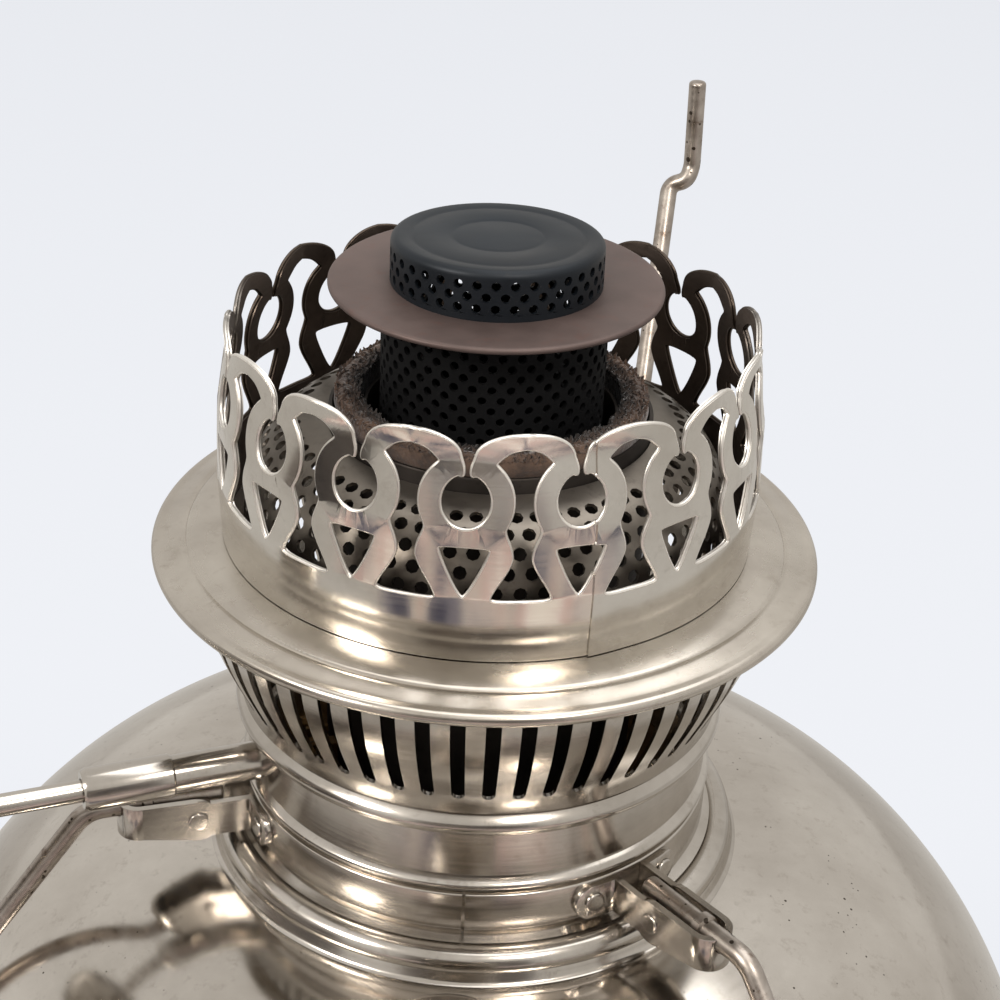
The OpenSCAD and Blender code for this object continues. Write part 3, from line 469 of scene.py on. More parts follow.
# Slotted bell: a bowl over the neck. One bay with its slot is repeated round the burner
bell_foot, bell_rise = NECK_R + SHEET + 0.2, 1.8
bell, bell_len = along(curve((bell_foot, BELL_FOOT), (bell_foot, BELL_FOOT + 3.6), (BELL_R - 1, BELL_TOP - 12),
                             (BELL_R, BELL_TOP), 60) + [(BELL_R + 0.25, BELL_TOP + bell_rise)])
SLOTS, SLOT_AZ, SLOT_SHARE = 56, -87.0, 0.44
bm = bmesh.new()
bmesh.ops.create_grid(bm, x_segments=8, y_segments=22, size=0.5)
across = [0.5] + [0.5 * SLOT_SHARE * x for x in (1.0, 0.72, 0.36)]
across = [-x for x in across] + [0.0] + across[::-1]
slot_low, slot_high = 3.1, bell_len - bell_rise - 3.3
rows = [0.0, 1.4] + [slot_low + (slot_high - slot_low) * i / 19 for i in range(20)] + [bell_len]
grid = [[round((v.co.x + 0.5) * 8), round((v.co.y + 0.5) * 22)] for v in bm.verts]
cut = [f for f in bm.faces if abs(f.calc_center_median().x) < 0.35 and 2 <= (f.calc_center_median().y + 0.5) * 22 < 21]
for v, (i, j) in zip(bm.verts, grid):
    s = rows[j]
    if j == 2 and 1 <= i <= 7:
        s += 0.5 - 0.8 * math.sqrt(max(0.0, 1 - (abs(across[i]) / (0.5 * SLOT_SHARE)) ** 2))
    r, z = bell(s)
    a = math.radians(SLOT_AZ) + across[i] * 2 * math.pi / SLOTS
    v.co = (r * MM * math.cos(a), r * MM * math.sin(a), z * MM)
bmesh.ops.delete(bm, geom=cut, context="FACES")
bmesh.ops.spin(bm, geom=bm.verts[:] + bm.edges[:] + bm.faces[:], cent=(0, 0, 0), axis=(0, 0, 1), dvec=(0, 0, 0),
               angle=2 * math.pi * (SLOTS - 1) / SLOTS, steps=SLOTS - 1, use_duplicate=True)
piece("slotted_bell_plate", bm, nickel, "lamp", "slotted_bell", thick=0.5, merge=1.5e-5,
      inside=240.0)

# Flange: a broad dish that falls to a grooved edge and a rolled lip
roll = LIP_R - LIP_ROLL
dish = ([(30.8, CROWN_Z), (33.5, CROWN_Z), (34.9, CROWN_Z)]
        + curve((35.3, CROWN_Z - 0.05), (37.2, CROWN_Z - 0.2), (38.0, CROWN_Z - 0.45), (39.0, CROWN_Z - 0.75), 10)
        + [(39.25, CROWN_Z - 1.0), (39.5, CROWN_Z - 0.97)]
        + curve((39.75, CROWN_Z - 0.9), (40.6, CROWN_Z - 1.0), (41.6, RIM + LIP_ROLL + 0.1), (42.3, RIM + LIP_ROLL), 8)
        + arc(roll, RIM, LIP_ROLL, 84, -165, 30))
under = [(roll - 1.4, RIM + 0.35), (38.6, CROWN_Z - 1.45), (36.0, CROWN_Z - SHEET), (30.8, CROWN_Z - SHEET)]
turned("flange_plate", dish + under, satin_nickel, "lamp", "flange_dish", "nickel_plate", 256)

# Perforated basket between the flange and the wick tube
BASKET_R, BASKET_TOP, BASKET_PITCH = 31.8, RIM + 17.6, 2.4
dome, dome_len = along(curve((BASKET_R, CROWN_Z), (BASKET_R, CROWN_Z + 9.5), (BASKET_R - 3.3, BASKET_TOP - 0.6),
                             (21.0, BASKET_TOP), 48))
rows, s, k = [(0.0, 1.2, 0.0, False)], 1.2, 0
while s + BASKET_PITCH < dome_len - 0.8:
    rows.append((s, s + BASKET_PITCH, 0.5 * (k % 2), True))
    s, k = s + BASKET_PITCH, k + 1
rows.append((s, dome_len, 0.5 * (k % 2), False))
bm = perforated(bmesh.new(), dome, 66, rows, 0.86)
piece("air_basket_plate", bm, dull_nickel, "lamp", "air_basket", thick=0.5, merge=1.5e-5, inside=255.0)

# Rims of the two tubes that hold the wick
for name, solid, r_in, r_out, low in (("outer_wick_tube", "wick_tube", 20.2, 20.8, RIM - 50),
                                      ("inner_draft_tube", "draft_tube", 15.8, 16.4, BOWL_Z - 6)):
    turned(name, [(r_in, low), (r_out, low), (r_out, WICK_TUBE_TOP - 0.2), (r_out - 0.12, WICK_TUBE_TOP),
                  (r_in + 0.12, WICK_TUBE_TOP), (r_in, WICK_TUBE_TOP - 0.2)], sooty_brass, "lamp", solid, "aged_brass")

# Flame spreader: perforated tube, disc and perforated button cap
SPREADER_R, BUTTON_R, BUTTON_H, BUTTON_TILT = 14.3, 13.3, 5.8, 2.3
tube, tube_len = along([(15.5, RIM + 2), (15.5, RIM + 3.6), (SPREADER_R, RIM + 4.4), (SPREADER_R, DISC_Z - SHEET)])
rows, s, k = [(0.0, 16.2, 0.0, False)], 16.2, 0
while s + 1.4 < tube_len - 0.6:
    rows.append((s, s + 1.4, 0.5 * (k % 2), True))
    s, k = s + 1.4, k + 1
rows.append((s, tube_len, 0.5 * (k % 2), False))
bm = bmesh.new()
lathe(bm, [(15.5, RIM + 2), (15.5, RIM + 3.6), (SPREADER_R, RIM + 4.4)], 72, closed=False)
perforated(bm, tube, 38, [(1.79, rows[0][1], 0.0, False)] + rows[1:], 0.6)
piece("spreader_tube_sheet", bm, soot_steel, "spreader", "spreader_tube", thick=0.5, merge=1.5e-5,
      inside=275.0)
turned("spreader_disc_plate", [(12.3, DISC_Z - SHEET), (20.7, DISC_Z - SHEET)] + arc(20.6, DISC_Z - 0.4, 0.4, -80, 80, 8)
       + [(20.3, DISC_Z), (12.3, DISC_Z)], scorched, "spreader", "spreader_disc", "scorched_steel")
wall, wall_len = along([(BUTTON_R, DISC_Z - 0.6), (BUTTON_R, DISC_Z + 4.65)])
rows = [(0.0, 0.9, 0.0, False)] + [(0.9 + 1.45 * i, 2.35 + 1.45 * i, 0.5 * (i % 2), True) for i in range(3)]
bm = perforated(bmesh.new(), wall, 36, rows, 0.62)
crown = ([(BUTTON_R, DISC_Z + 4.65)] + arc(BUTTON_R - 1.0, DISC_Z + BUTTON_H - 1.0, 1.0, 5, 90, 8)
         + [(11.2, DISC_Z + BUTTON_H - 0.02), (10.9, DISC_Z + BUTTON_H - 0.14), (10.5, DISC_Z + BUTTON_H - 0.14),
            (10.2, DISC_Z + BUTTON_H - 0.04), (6.2, DISC_Z + BUTTON_H), (5.9, DISC_Z + BUTTON_H - 0.12),
            (5.5, DISC_Z + BUTTON_H - 0.12), (5.2, DISC_Z + BUTTON_H - 0.02), (0, DISC_Z + BUTTON_H)])
lathe(bm, crown, 72, closed=False)
bmesh.ops.rotate(bm, cent=(0, 0, DISC_Z * MM), matrix=Matrix.Rotation(math.radians(-BUTTON_TILT), 3, "X"), verts=bm.verts[:])
piece("spreader_button", bm, black_steel, "spreader", "spreader_cap", thick=0.5, merge=1.5e-5,
      inside=275.0)


# Chimney gallery: one bay is drawn flat, across and up, then rolled round the burner
RINGS, CROWN_R, CROWN_H, CROWN_AZ, CROWN_T = 16, 34.0, 29.3, -94.0, 0.55
RING_Z, RING_R, BAND_TOP = 21.05, 5.6, 8.3
LEAN = [(0.0, 0.0), (0.5, 0.3), (0.3, 0.6), (-0.7, 0.85), (-1.8, 1.01)]
LAP_BAY, LAP_AT, LAP_STEP = 1, 0.26, 0.3
CONTACT = 0.13
CURL, CURL_FROM = 0.9, 0.84
HALF = (CROWN_R + CROWN_T) * math.tan(math.pi / RINGS)


def rounded(points, times=2, keep=()):
    """Cuts a closed outline's corners, again and again, apart from the points that are kept."""
    for _ in range(times):
        out = []
        n = len(points)
        for i, p in enumerate(points):
            a, b = points[i - 1], points[(i + 1) % n]
            if p in keep:
                out.append(p)
                continue
            out.append((p[0] + 0.25 * (a[0] - p[0]), p[1] + 0.25 * (a[1] - p[1])))
            out.append((p[0] + 0.25 * (b[0] - p[0]), p[1] + 0.25 * (b[1] - p[1])))
        points = out
    return points


lobe = HALF - RING_R
bottle = [(HALF, BAND_TOP), (HALF - lobe - 2.4, BAND_TOP), (HALF - lobe - 2.5, BAND_TOP + 0.9), (RING_R, RING_Z - 7.7),
          (RING_R, RING_Z - 6.0), (4.55, RING_Z - 3.5)]
bottle += [(RING_R * math.cos(a), RING_Z + RING_R * math.sin(a)) for a in
           [math.radians(d) for d in range(-30, 56, 12)]]
bottle += [(HALF - 3.5, CROWN_H - 3.4), (HALF - 1.9, CROWN_H - 2.0), (HALF, CROWN_H - 1.6)]
horn = [(0.5, RING_Z + 3.0), (0.48, RING_Z + 4.0), (0.9, RING_Z + 5.1)]
horn += [(HALF + (HALF - 0.9) * math.cos(a), RING_Z + 5.1 + (CROWN_H - RING_Z - 5.1) * math.sin(a)) for a in
         [math.radians(d) for d in range(165, 89, -15)]]
hole = [(3.15 * math.cos(a), RING_Z + 3.45 * math.sin(a)) for a in
        [math.radians(d) for d in range(70, -91, -10)]]
# The bay's edge from the foot round the bottle, over the arch and down through the ring's hole, and its mirror image
edge = [(HALF, 0.0)] + bottle + [(HALF, CROWN_H)] + horn[-2::-1] + hole
keep = [(HALF, 0.0), bottle[0], bottle[-1], (HALF, CROWN_H)]
keep += [(-x, z) for x, z in keep]
bay_outline = rounded(edge + [(-x, z) for x, z in edge[-2::-1]], 2, keep)
triangle = rounded([(0.5, BAND_TOP + 0.5), (3.3, RING_Z - RING_R - 0.5), (2.8, RING_Z - RING_R + 0.1),
                    (-2.8, RING_Z - RING_R + 0.1), (-3.3, RING_Z - RING_R - 0.5), (-0.5, BAND_TOP + 0.5)], 2)
bm = bmesh.new()
for loop in (bay_outline, triangle):
    verts = [bm.verts.new((x, 0, z)) for x, z in loop]
    for a, b in zip(verts, verts[1:] + verts[:1]):
        bm.edges.new((a, b))
bmesh.ops.remove_doubles(bm, verts=bm.verts[:], dist=1e-4)
bmesh.ops.triangle_fill(bm, use_beauty=True, use_dissolve=False, edges=bm.edges[:])
for x in [i / 8 for i in range(-7, 8)] + [LAP_AT]:
    bmesh.ops.bisect_plane(bm, geom=bm.verts[:] + bm.edges[:] + bm.faces[:], plane_co=(x * HALF, 0, 0), plane_no=(1, 0, 0))
for z in (4, 8.3, 12, 15, 18, 21, 23.5, 25.0, 26.0, 26.9, 27.7, 28.5):
    bmesh.ops.bisect_plane(bm, geom=bm.verts[:] + bm.edges[:] + bm.faces[:], plane_co=(0, 0, z), plane_no=(0, 0, 1))
bay_verts, bay_edges, bay_faces = bm.verts[:], bm.edges[:], bm.faces[:]
bends = [chance.uniform(-1.0, 1.0) for _ in range(RINGS)]


def rolled(flat, turn, bend, lapped):
    """Where a point of the flat bay lies on the crown, which leans in above, has bent arches and one lap seam."""
    x, z = flat
    share = z / CROWN_H
    out = CROWN_R + CROWN_T + next(a[0] + (b[0] - a[0]) * (share - a[1]) / (b[1] - a[1])
                                   for a, b in zip(LEAN, LEAN[1:]) if share <= b[1])
    middle = math.cos(math.pi / 2 * x / HALF)
    out += bend * middle * max(0.0, share - 0.55) * 1.6
    out += CURL * (max(0.0, share - CURL_FROM) / (1 - CURL_FROM)) ** 2
    if lapped and x / HALF > LAP_AT - 1e-4:
        out += LAP_STEP * (1 - x / HALF) / (1 - LAP_AT)
    a = turn + x / HALF * math.pi / RINGS
    return Vector((out * MM * math.cos(a), out * MM * math.sin(a), (CROWN_Z + CONTACT * (1 - share) + z) * MM))


for k in range(RINGS):
    copy = bmesh.ops.duplicate(bm, geom=bay_verts + bay_edges + bay_faces)["geom"]
    for v in copy:
        if isinstance(v, bmesh.types.BMVert):
            v.co = rolled((v.co.x, v.co.z), math.radians(CROWN_AZ + 360 / RINGS * k), bends[k],
                          k == LAP_BAY)
bmesh.ops.delete(bm, geom=bay_verts, context="VERTS")
# Its cut edges are rubbed round, but for the foot that sits in the flange; their bright front is painted highlight and
# their dark far side painted shade
EDGE_R, EDGE_IN = 0.26, 0.3
bmesh.ops.remove_doubles(bm, verts=bm.verts[:], dist=2e-5)
outline = bpy.data.curves.new("gallery_crown_edge", "CURVE")
outline.dimensions = "3D"
outline.bevel_depth = EDGE_R * MM
outline.bevel_resolution = 2
left = dict.fromkeys(e for e in bm.edges if e.is_boundary and e.verts[0].co.z > (CROWN_Z + 1) * MM)
while left:
    step = next(iter(left))
    run = [step.verts[0]]
    while step:
        del left[step]
        run.append(step.other_vert(run[-1]))
        step = next((e for e in run[-1].link_edges if e in left), None)
    rubbed = outline.splines.new("POLY")
    rubbed.points.add(len(run) - 2)
    for point, v in zip(rubbed.points, run):
        point.co = (*(v.co - Vector((v.co.x, v.co.y, 0)).normalized() * EDGE_IN * MM), 1)
    rubbed.use_cyclic_u = True
holder = bpy.data.objects.new("gallery_crown_outline", outline)
edge = bmesh.new()
edge.from_mesh(bpy.data.meshes.new_from_object(holder))
bpy.data.objects.remove(holder)
bpy.data.curves.remove(outline)
# The sheet's rims take the edge colour: painted highlight in front, painted shade behind
piece("gallery_crown_sheet", bm, [bright_nickel, browned, edge_highlight_and_shade], "gallery", "gallery_crown", merge=2e-5,
      thick=CROWN_T + 0.2, inside=265.0)
piece("gallery_crown_edge", edge, edge_highlight_and_shade, "gallery", sharp=80)

# Tubular wick with a charred and frayed top
bm = lathe(bmesh.new(), [(16.75, RIM - 95.6), (19.85, RIM - 95.6), (19.85, RIM + 19.3), (20.1, RIM + 20.2), (20.0, RIM + 21.3),
                         (19.2, RIM + 21.9), (17.9, RIM + 21.7), (16.9, RIM + 20.8)], 160)
WICK_ROOM = (16.5, 20.1)
for _ in range(3600):
    r = chance.uniform(16.8, 19.9)
    a = chance.uniform(0, 2 * math.pi)
    size = chance.uniform(0.4, 1.15)
    tuft = bmesh.ops.create_cone(bm, segments=4, radius1=0.4 * MM, radius2=0.14 * MM, depth=size * MM, cap_ends=False)
    tip = Vector((chance.uniform(-1, 1), chance.uniform(-1, 1), 0.55)).to_track_quat("Z", "Y").to_matrix().to_4x4()
    move = Matrix.Translation((r * MM * math.cos(a), r * MM * math.sin(a), (RIM + 21.35) * MM)) @ tip @ Matrix.Translation(
        (0, 0, size / 2 * MM))
    bmesh.ops.transform(bm, matrix=move, verts=tuft["verts"])
    for v in tuft["verts"]:
        from_axis = math.hypot(v.co.x, v.co.y)
        keep = min(max(from_axis, WICK_ROOM[0] * MM), WICK_ROOM[1] * MM) / from_axis
        v.co.x, v.co.y = v.co.x * keep, v.co.y * keep
piece("wick_sleeve", bm, cotton, "wick_lift", "wick", sharp=80, merge=1e-9)


# Shade arms: wire with swept bends
def wire(bm, radius, heading, moves, segments=20):
    """Draws a wire along +X of a turning heading: runs, and bends towards a side at a radius."""
    at = Vector((0, 0, 0))
    made = bmesh.ops.create_circle(bm, segments=segments, radius=radius * MM,
                                   matrix=Matrix.Rotation(math.radians(90), 4, "Y"))
    ring = list({e for v in made["verts"] for e in v.link_edges})
    bmesh.ops.contextual_create(bm, geom=ring)
    for kind, size, side, bend_r in moves:
        if kind == "run":
            step = heading @ Vector((size * MM, 0, 0))
            new = bmesh.ops.extrude_edge_only(bm, edges=ring)["geom"]
            verts = [g for g in new if isinstance(g, bmesh.types.BMVert)]
            bmesh.ops.translate(bm, verts=verts, vec=step)
            ring = [g for g in new if isinstance(g, bmesh.types.BMEdge) and all(v in verts for v in g.verts)]
            at = at + step
        else:
            tilt = Matrix.Rotation(math.radians(side), 3, "X")
            axis = heading @ (tilt @ Vector((0, -1, 0)))
            centre = at + heading @ (tilt @ Vector((0, 0, bend_r * MM)))
            verts = list({v for e in ring for v in e.verts})
            new = bmesh.ops.spin(bm, geom=verts + ring, cent=centre, axis=axis, dvec=(0, 0, 0),
                                 angle=math.radians(size), steps=8)["geom_last"]
            ring = [g for g in new if isinstance(g, bmesh.types.BMEdge)]
            turn = Matrix.Rotation(math.radians(size), 3, axis)
            at = centre + turn @ (at - centre)
            heading = turn @ heading
    bmesh.ops.contextual_create(bm, geom=ring)
    return bm


def reach(angle, radius):
    return radius * math.tan(math.radians(angle) / 2)


WIRE_R, KNEE, JOG, TIP_LEAN = 1.4, 52.0, 80.0, 13.0
ARM_LEN, JOG_LEN, STEP_LEN, TIP_LEN = 64.5, 3.0, 2.5, 14.5
knee_r, jog_r, tip_r = 4.56, 1.9, 3.0
arm_moves = [("run", 54.225 - 35.95 - reach(KNEE, knee_r), 0, 0), ("bend", KNEE, 0, knee_r),
             ("run", ARM_LEN - reach(JOG, jog_r), 0, 0), ("bend", JOG, 90, jog_r),
             ("run", JOG_LEN - reach(JOG, jog_r) - reach(JOG - TIP_LEAN, jog_r), 0, 0),
             ("bend", JOG - TIP_LEAN, -90, jog_r),
             ("run", max(0.3, STEP_LEN - reach(JOG - TIP_LEAN, jog_r) - reach(90 - KNEE, tip_r)), 0, 0),
             ("bend", 90 - KNEE, 0, tip_r), ("run", TIP_LEN - reach(90 - KNEE, tip_r), 0, 0)]
for side, turn in (("left", 180.0), ("right", 180.0), ("back", -11.0)):
    bm = wire(bmesh.new(), WIRE_R, Matrix.Identity(3), arm_moves)
    ends = [e for e in bm.edges if len(e.link_faces) == 2 and e.calc_face_angle(0) > 1.2]
    bmesh.ops.bevel(bm, geom=ends, offset=0.45 * MM, offset_type="OFFSET", segments=3, profile=0.5, affect="EDGES",
                    material=-1)
    stop = bmesh.ops.create_circle(bm, segments=20, radius=1.4 * MM, matrix=Matrix.Translation(
        ((45.4 - 35.95) * MM, 0, 0)) @ Matrix.Rotation(math.radians(90), 4, "Y"))["verts"]
    loop = list({e for v in stop for e in v.link_edges})
    for step, grow in ((0.2, 1.8 / 1.4), (1.2, 1.0), (0.2, 1.4 / 1.8)):
        new = bmesh.ops.extrude_edge_only(bm, edges=loop)["geom"]
        verts = [g for g in new if isinstance(g, bmesh.types.BMVert)]
        bmesh.ops.translate(bm, verts=verts, vec=(step * MM, 0, 0))
        bmesh.ops.scale(bm, verts=verts, vec=(1, grow, grow))
        loop = [g for g in new if isinstance(g, bmesh.types.BMEdge) and all(v in verts for v in g.verts)]
    bmesh.ops.transform(bm, verts=bm.verts[:], matrix=Matrix.Rotation(math.radians(EAR_AZ[side]), 4, "Z")
                        @ Matrix.Translation((35.95 * MM, 0, PIVOT_Z * MM)) @ Matrix.Rotation(math.radians(turn), 4, "X"))
    piece(side + "_arm_wire", bm, pitted_wire, side + "_arm", "arm_" + side, sharp=50)


# Rivets of the shade holder
def rivet(bm, matrix, r=1.4, h=0.32):
    """A flat rivet head with a rounded rim that stands on a plane and points along +Z."""
    head = bmesh.new()
    lathe(head, [(0, -0.4), (0.8, -0.4), (0.8, 0), (r, 0), (r, 0.1)] + arc(r - 0.3, h - 0.2, 0.3, 20, 90, 5, 0.67)
          + [(0, h)], 48)
    bmesh.ops.transform(head, matrix=matrix, verts=head.verts[:])
    kept = bpy.data.meshes.new("rivet_head")
    head.to_mesh(kept)
    head.free()
    bm.from_mesh(kept)
    bpy.data.meshes.remove(kept)


foot_turn = math.degrees(math.asin(6 / EAR_OUT))
feet, crosses = bmesh.new(), bmesh.new()
for azimuth in EAR_AZ.values():
    for s in (-1, 1):
        rivet(feet, facing(azimuth + s * foot_turn, EAR_OUT + FIT, BAND_Z))
        rivet(crosses, Matrix.Rotation(math.radians(azimuth), 4, "Z") @ Matrix.Translation(
            (39.8 * MM, s * 3.05 * MM, BAND_Z * MM)) @ Matrix.Rotation(math.radians(-90 * s), 4, "X"), h=0.3)
piece("band_rivet_heads", feet, nickel, "lamp", "band_rivets", sharp=60)
piece("cross_rivet_heads", crosses, nickel, "lamp", "cross_rivets", sharp=60)

# Wick raiser: bush, packing nut, spindle, milled knob and its nut
out = facing(RAISER_AZ, 0, RAISER_Z)
turned("raiser_bush_tube", [(1.65, 28), (2.6, 28), (2.6, 43), (1.65, 43)], nickel, "lamp", "raiser_bush", "nickel_plate",
       64, out)
turned("packing_nut_tube", [(1.65, 43.05), (2.7, 43.05), (2.9, 43.3), (2.9, 54.4), (2.5, 55), (1.65, 55)], nickel, "lamp",
       "packing_nut", "nickel_plate", 64, out)
turned("spindle_rod", [(0, 21.5), (1.3, 21.5), (1.5, 21.7), (1.5, 82.4), (1.3, 82.6), (0, 82.6)], nickel, "raiser",
       "spindle", "nickel_plate", 48, out)
KNOB_AT, KNOB_R, KNOB_T = 76.0, 12.5, 4.0
knob = ([(1.55, -2.4), (3.7, -2.4), (4.0, -2.1), (4.6, -0.4), (6.2, 0.1), (9.4, 0.6), (10.3, 0.7), (11.1, 0.0)]
        + arc(KNOB_R - 1, 1, 1, -90, 0, 5) + arc(KNOB_R - 1, KNOB_T - 1, 1, 0, 90, 5)
        + [(11.1, KNOB_T), (10.3, KNOB_T - 0.7), (8.0, KNOB_T - 0.75), (6.0, KNOB_T - 0.5), (4.0, KNOB_T - 0.4),
           (1.55, KNOB_T - 0.4)])
bm = lathe(bmesh.new(), [(r, z + KNOB_AT) for r, z in knob], 180)
for v in bm.verts:
    if math.hypot(v.co.x, v.co.y) > (KNOB_R - 0.35) * MM and round(math.degrees(math.atan2(v.co.y, v.co.x)) / 2) % 2:
        v.co.x *= 0.965
        v.co.y *= 0.965
bmesh.ops.transform(bm, matrix=out, verts=bm.verts[:])
piece("raiser_knob", bm, nickel, "raiser", "knob", sharp=32)
turned("knob_dome_nut", [(1.55, 79.7), (2.6, 79.7), (2.8, 79.9), (2.8, 81.4), (2.5, 82.3), (1.7, 83.1), (0.8, 83.4), (0, 83.4),
                         (0, 82.7), (1.55, 82.7)], nickel, "raiser", "knob_nut", "nickel_plate", 48, out)

# Solids whose shapes are right keep them and take a finish
for name, finish in (("ear_left", nickel), ("ear_right", nickel), ("ear_back", nickel), ("filler_neck", nickel),
                     ("burner_floor", aged_brass), ("wick_carrier", aged_brass), ("rack", aged_brass),
                     ("pinion", aged_brass), ("filler_gasket", cork), ("spindle_packing", cork)):
    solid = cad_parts[name]
    solid.data.materials.clear()
    solid.data.materials.append(finish)
    if name.startswith("ear"):
        solid.modifiers.new("joined", "WELD").merge_threshold = 1e-6
        bevel = solid.modifiers.new("pressed_edge", "BEVEL")
        bevel.width = 0.1 * MM
        bevel.segments = 2
        bevel.limit_method = "ANGLE"
        bevel.angle_limit = math.radians(40)

# Floor, light and camera. The paper keeps the lamp's shadow in one pale tone, and its own dark shade under the foot
FLOOR_EVEN = 0.82
bm = bmesh.new()
bmesh.ops.create_grid(bm, x_segments=1, y_segments=1, size=6.0)
floor_mesh = bpy.data.meshes.new("studio_floor")
bm.to_mesh(floor_mesh)
bm.free()
floor = bpy.data.objects.new("studio_floor", floor_mesh)
bpy.context.scene.collection.objects.link(floor)
paper, tree, shader, place = new_material("white_paper_sweep")
tint = node(tree, "ShaderNodeTexNoise", {"Vector": place, "Scale": 1.3, "Detail": 2.0})
tone = node(tree, "ShaderNodeValToRGB", {"Fac": tint.outputs["Fac"]},
            ramp=[(0.35, linear("#eef1f6")), (0.7, linear("#f4f6fa"))])
tree.links.new(tone.outputs["Color"], shader.inputs["Base Color"])
shader.inputs["Roughness"].default_value = 0.9
path = node(tree, "ShaderNodeLightPath")
seen = node(tree, "ShaderNodeMath", {0: path.outputs["Is Camera Ray"], 1: path.outputs["Is Transmission Ray"]},
            operation="MAXIMUM")
from_foot = node(tree, "ShaderNodeVectorMath", {0: place}, operation="LENGTH")
clear = node(tree, "ShaderNodeMapRange", {"Value": from_foot.outputs["Value"], "From Min": FOOT_R * MM,
                                          "From Max": 1.04 * FOOT_R * MM, "To Max": FLOOR_EVEN})
part = node(tree, "ShaderNodeMath", {0: seen.outputs[0], 1: clear.outputs["Result"]}, operation="MULTIPLY")
haze = node(tree, "ShaderNodeEmission", {"Color": linear("#ebedf2"), "Strength": 1.0})
mirrored = node(tree, "ShaderNodeEmission", {"Color": linear("#d3cfc9"), "Strength": 1.0})
even = node(tree, "ShaderNodeMixShader", {0: path.outputs["Is Glossy Ray"], 1: shader.outputs[0],
                                          2: mirrored.outputs[0]})
even = node(tree, "ShaderNodeMixShader", {0: part.outputs[0], 1: even.outputs[0], 2: haze.outputs[0]})
tree.links.new(even.outputs[0], tree.nodes["Material Output"].inputs["Surface"])
floor_mesh.materials.append(paper)
floor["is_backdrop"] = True

scene = bpy.context.scene
world = bpy.data.worlds.new("studio_air")
scene.world = world
world.use_nodes = True
tree = world.node_tree
tree.nodes.clear()
path = node(tree, "ShaderNodeLightPath")
seen = node(tree, "ShaderNodeMath", {0: path.outputs["Is Camera Ray"], 1: path.outputs["Is Transmission Ray"]},
            operation="MAXIMUM")
lit = node(tree, "ShaderNodeBackground", {"Color": linear("#f1f3f8"), "Strength": 0.55})
walls = node(tree, "ShaderNodeBackground", {"Color": linear("#ebe8e3"), "Strength": 1.0})
pale = node(tree, "ShaderNodeBackground", {"Color": linear("#eef0f5"), "Strength": 1.0})
mixed = node(tree, "ShaderNodeMixShader", {0: path.outputs["Is Glossy Ray"], 1: lit.outputs[0], 2: walls.outputs[0]})
mixed = node(tree, "ShaderNodeMixShader", {0: seen.outputs[0], 1: mixed.outputs[0], 2: pale.outputs[0]})
node(tree, "ShaderNodeOutputWorld", {"Surface": mixed.outputs[0]})


def soft_box(name, azimuth, elevation, distance, size, power, colour="#ffffff"):
    """A square area lamp that faces the burner."""
    lamp = bpy.data.lights.new(name, "AREA")
    lamp.shape = "SQUARE"
    lamp.size = size
    lamp.energy = power
    lamp.color = linear(colour)[:3]
    made = bpy.data.objects.new(name, lamp)
    a, e = math.radians(azimuth), math.radians(elevation)
    away = Vector((math.cos(a) * math.cos(e), math.sin(a) * math.cos(e), math.sin(e)))
    made.location = Vector((0, 0, 0.22)) + away * distance
    made.rotation_mode = "QUATERNION"
    made.rotation_quaternion = away.to_track_quat("Z", "Y")
    scene.collection.objects.link(made)


soft_box("window_left", -142, 34, 1.1, 0.24, 6.5, "#fffaf3")
soft_box("window_right", -63, 48, 1.1, 0.18, 4.5, "#fff8f0")
soft_box("ceiling", 40, 78, 1.4, 1.3, 12.0)


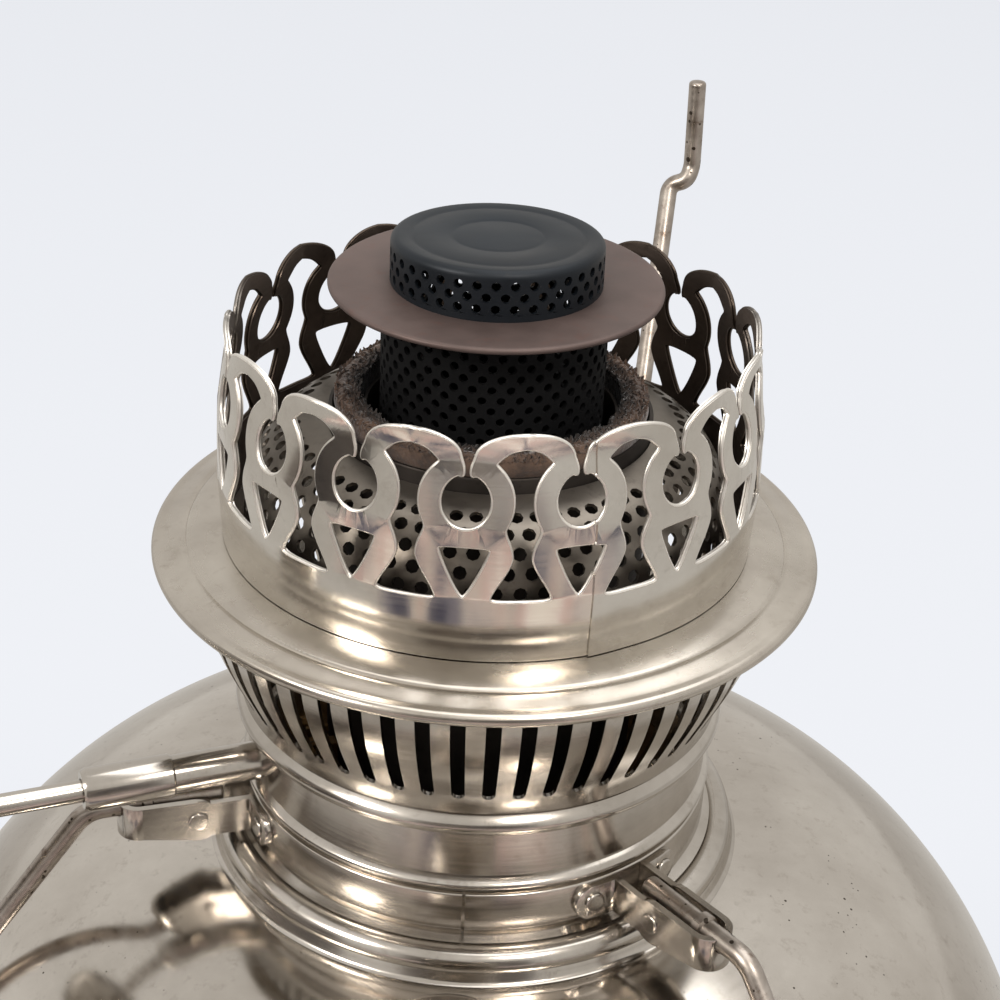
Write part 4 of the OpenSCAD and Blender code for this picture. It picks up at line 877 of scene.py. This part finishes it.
def reflected_card(name, centre, facing_to, size, tones, fold_size):
    """A mottled cloth out of the picture that only shows in the metal."""
    card = bmesh.new()
    bmesh.ops.create_grid(card, x_segments=1, y_segments=1, size=1.0)
    turn = Vector(facing_to).to_track_quat("Z", "Y").to_matrix().to_4x4()
    bmesh.ops.transform(card, matrix=Matrix.Translation(centre) @ turn @ Matrix.Diagonal((*size, 1, 1)), verts=card.verts[:])
    mesh = bpy.data.meshes.new(name)
    card.to_mesh(mesh)
    card.free()
    made = bpy.data.objects.new(name, mesh)
    scene.collection.objects.link(made)
    cloth, tree, shader, place = new_material(name)
    fold = node(tree, "ShaderNodeTexNoise", {"Vector": place, "Scale": 1.0 / fold_size, "Detail": 2.0})
    tone = node(tree, "ShaderNodeValToRGB", {"Fac": fold.outputs["Fac"]},
                ramp=[(0.38 + 0.24 * i / (len(tones) - 1), linear(t)) for i, t in enumerate(tones)])
    tree.links.new(tone.outputs["Color"], shader.inputs["Base Color"])
    shader.inputs["Roughness"].default_value = 0.9
    mesh.materials.append(cloth)
    for ray in ("visible_camera", "visible_diffuse", "visible_shadow", "visible_transmission"):
        setattr(made, ray, False)
    made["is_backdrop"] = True


reflected_card("front_cloth", (0, -1.5, 0.45), (0, 1, 0), (0.7, 0.45), ("#5c5759", "#8d847c", "#a79c91"), 0.35)
reflected_card("low_cloth", (0, -0.72, 0.02), (0, 0, 1), (0.55, 0.47),
               ("#383a4e", "#7b7780", "#c8bfb4", "#bd918e", "#eee7de"), 0.12)
reflected_card("side_cloth", (-0.75, -0.3, 0.22), (1, 0.35, 0), (0.28, 0.3), ("#3f3a38", "#6a625b", "#8a8078"), 0.3)

camera = bpy.data.cameras.new("photo_camera")
camera.sensor_width = 36.0
camera.lens = 77.33
camera.clip_start = 0.01
view = bpy.data.objects.new("photo_camera", camera)
scene.collection.objects.link(view)
pitch, yaw, tilt = (math.radians(d) for d in (28.44, 0.39, 2.67))
ahead = Vector((math.sin(yaw) * math.cos(pitch), math.cos(yaw) * math.cos(pitch), -math.sin(pitch)))
level = Vector((math.cos(yaw), -math.sin(yaw), 0))
above = level.cross(ahead)
right_hand = math.cos(tilt) * level + math.sin(tilt) * above
up = -math.sin(tilt) * level + math.cos(tilt) * above
view.matrix_world = Matrix.Translation((0, -247.58 * MM, (RIM + 139.66) * MM)) @ Matrix(
    (right_hand, up, -ahead)).transposed().to_4x4()
scene.camera = view
scene.view_settings.view_transform = "Standard"

low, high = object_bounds()
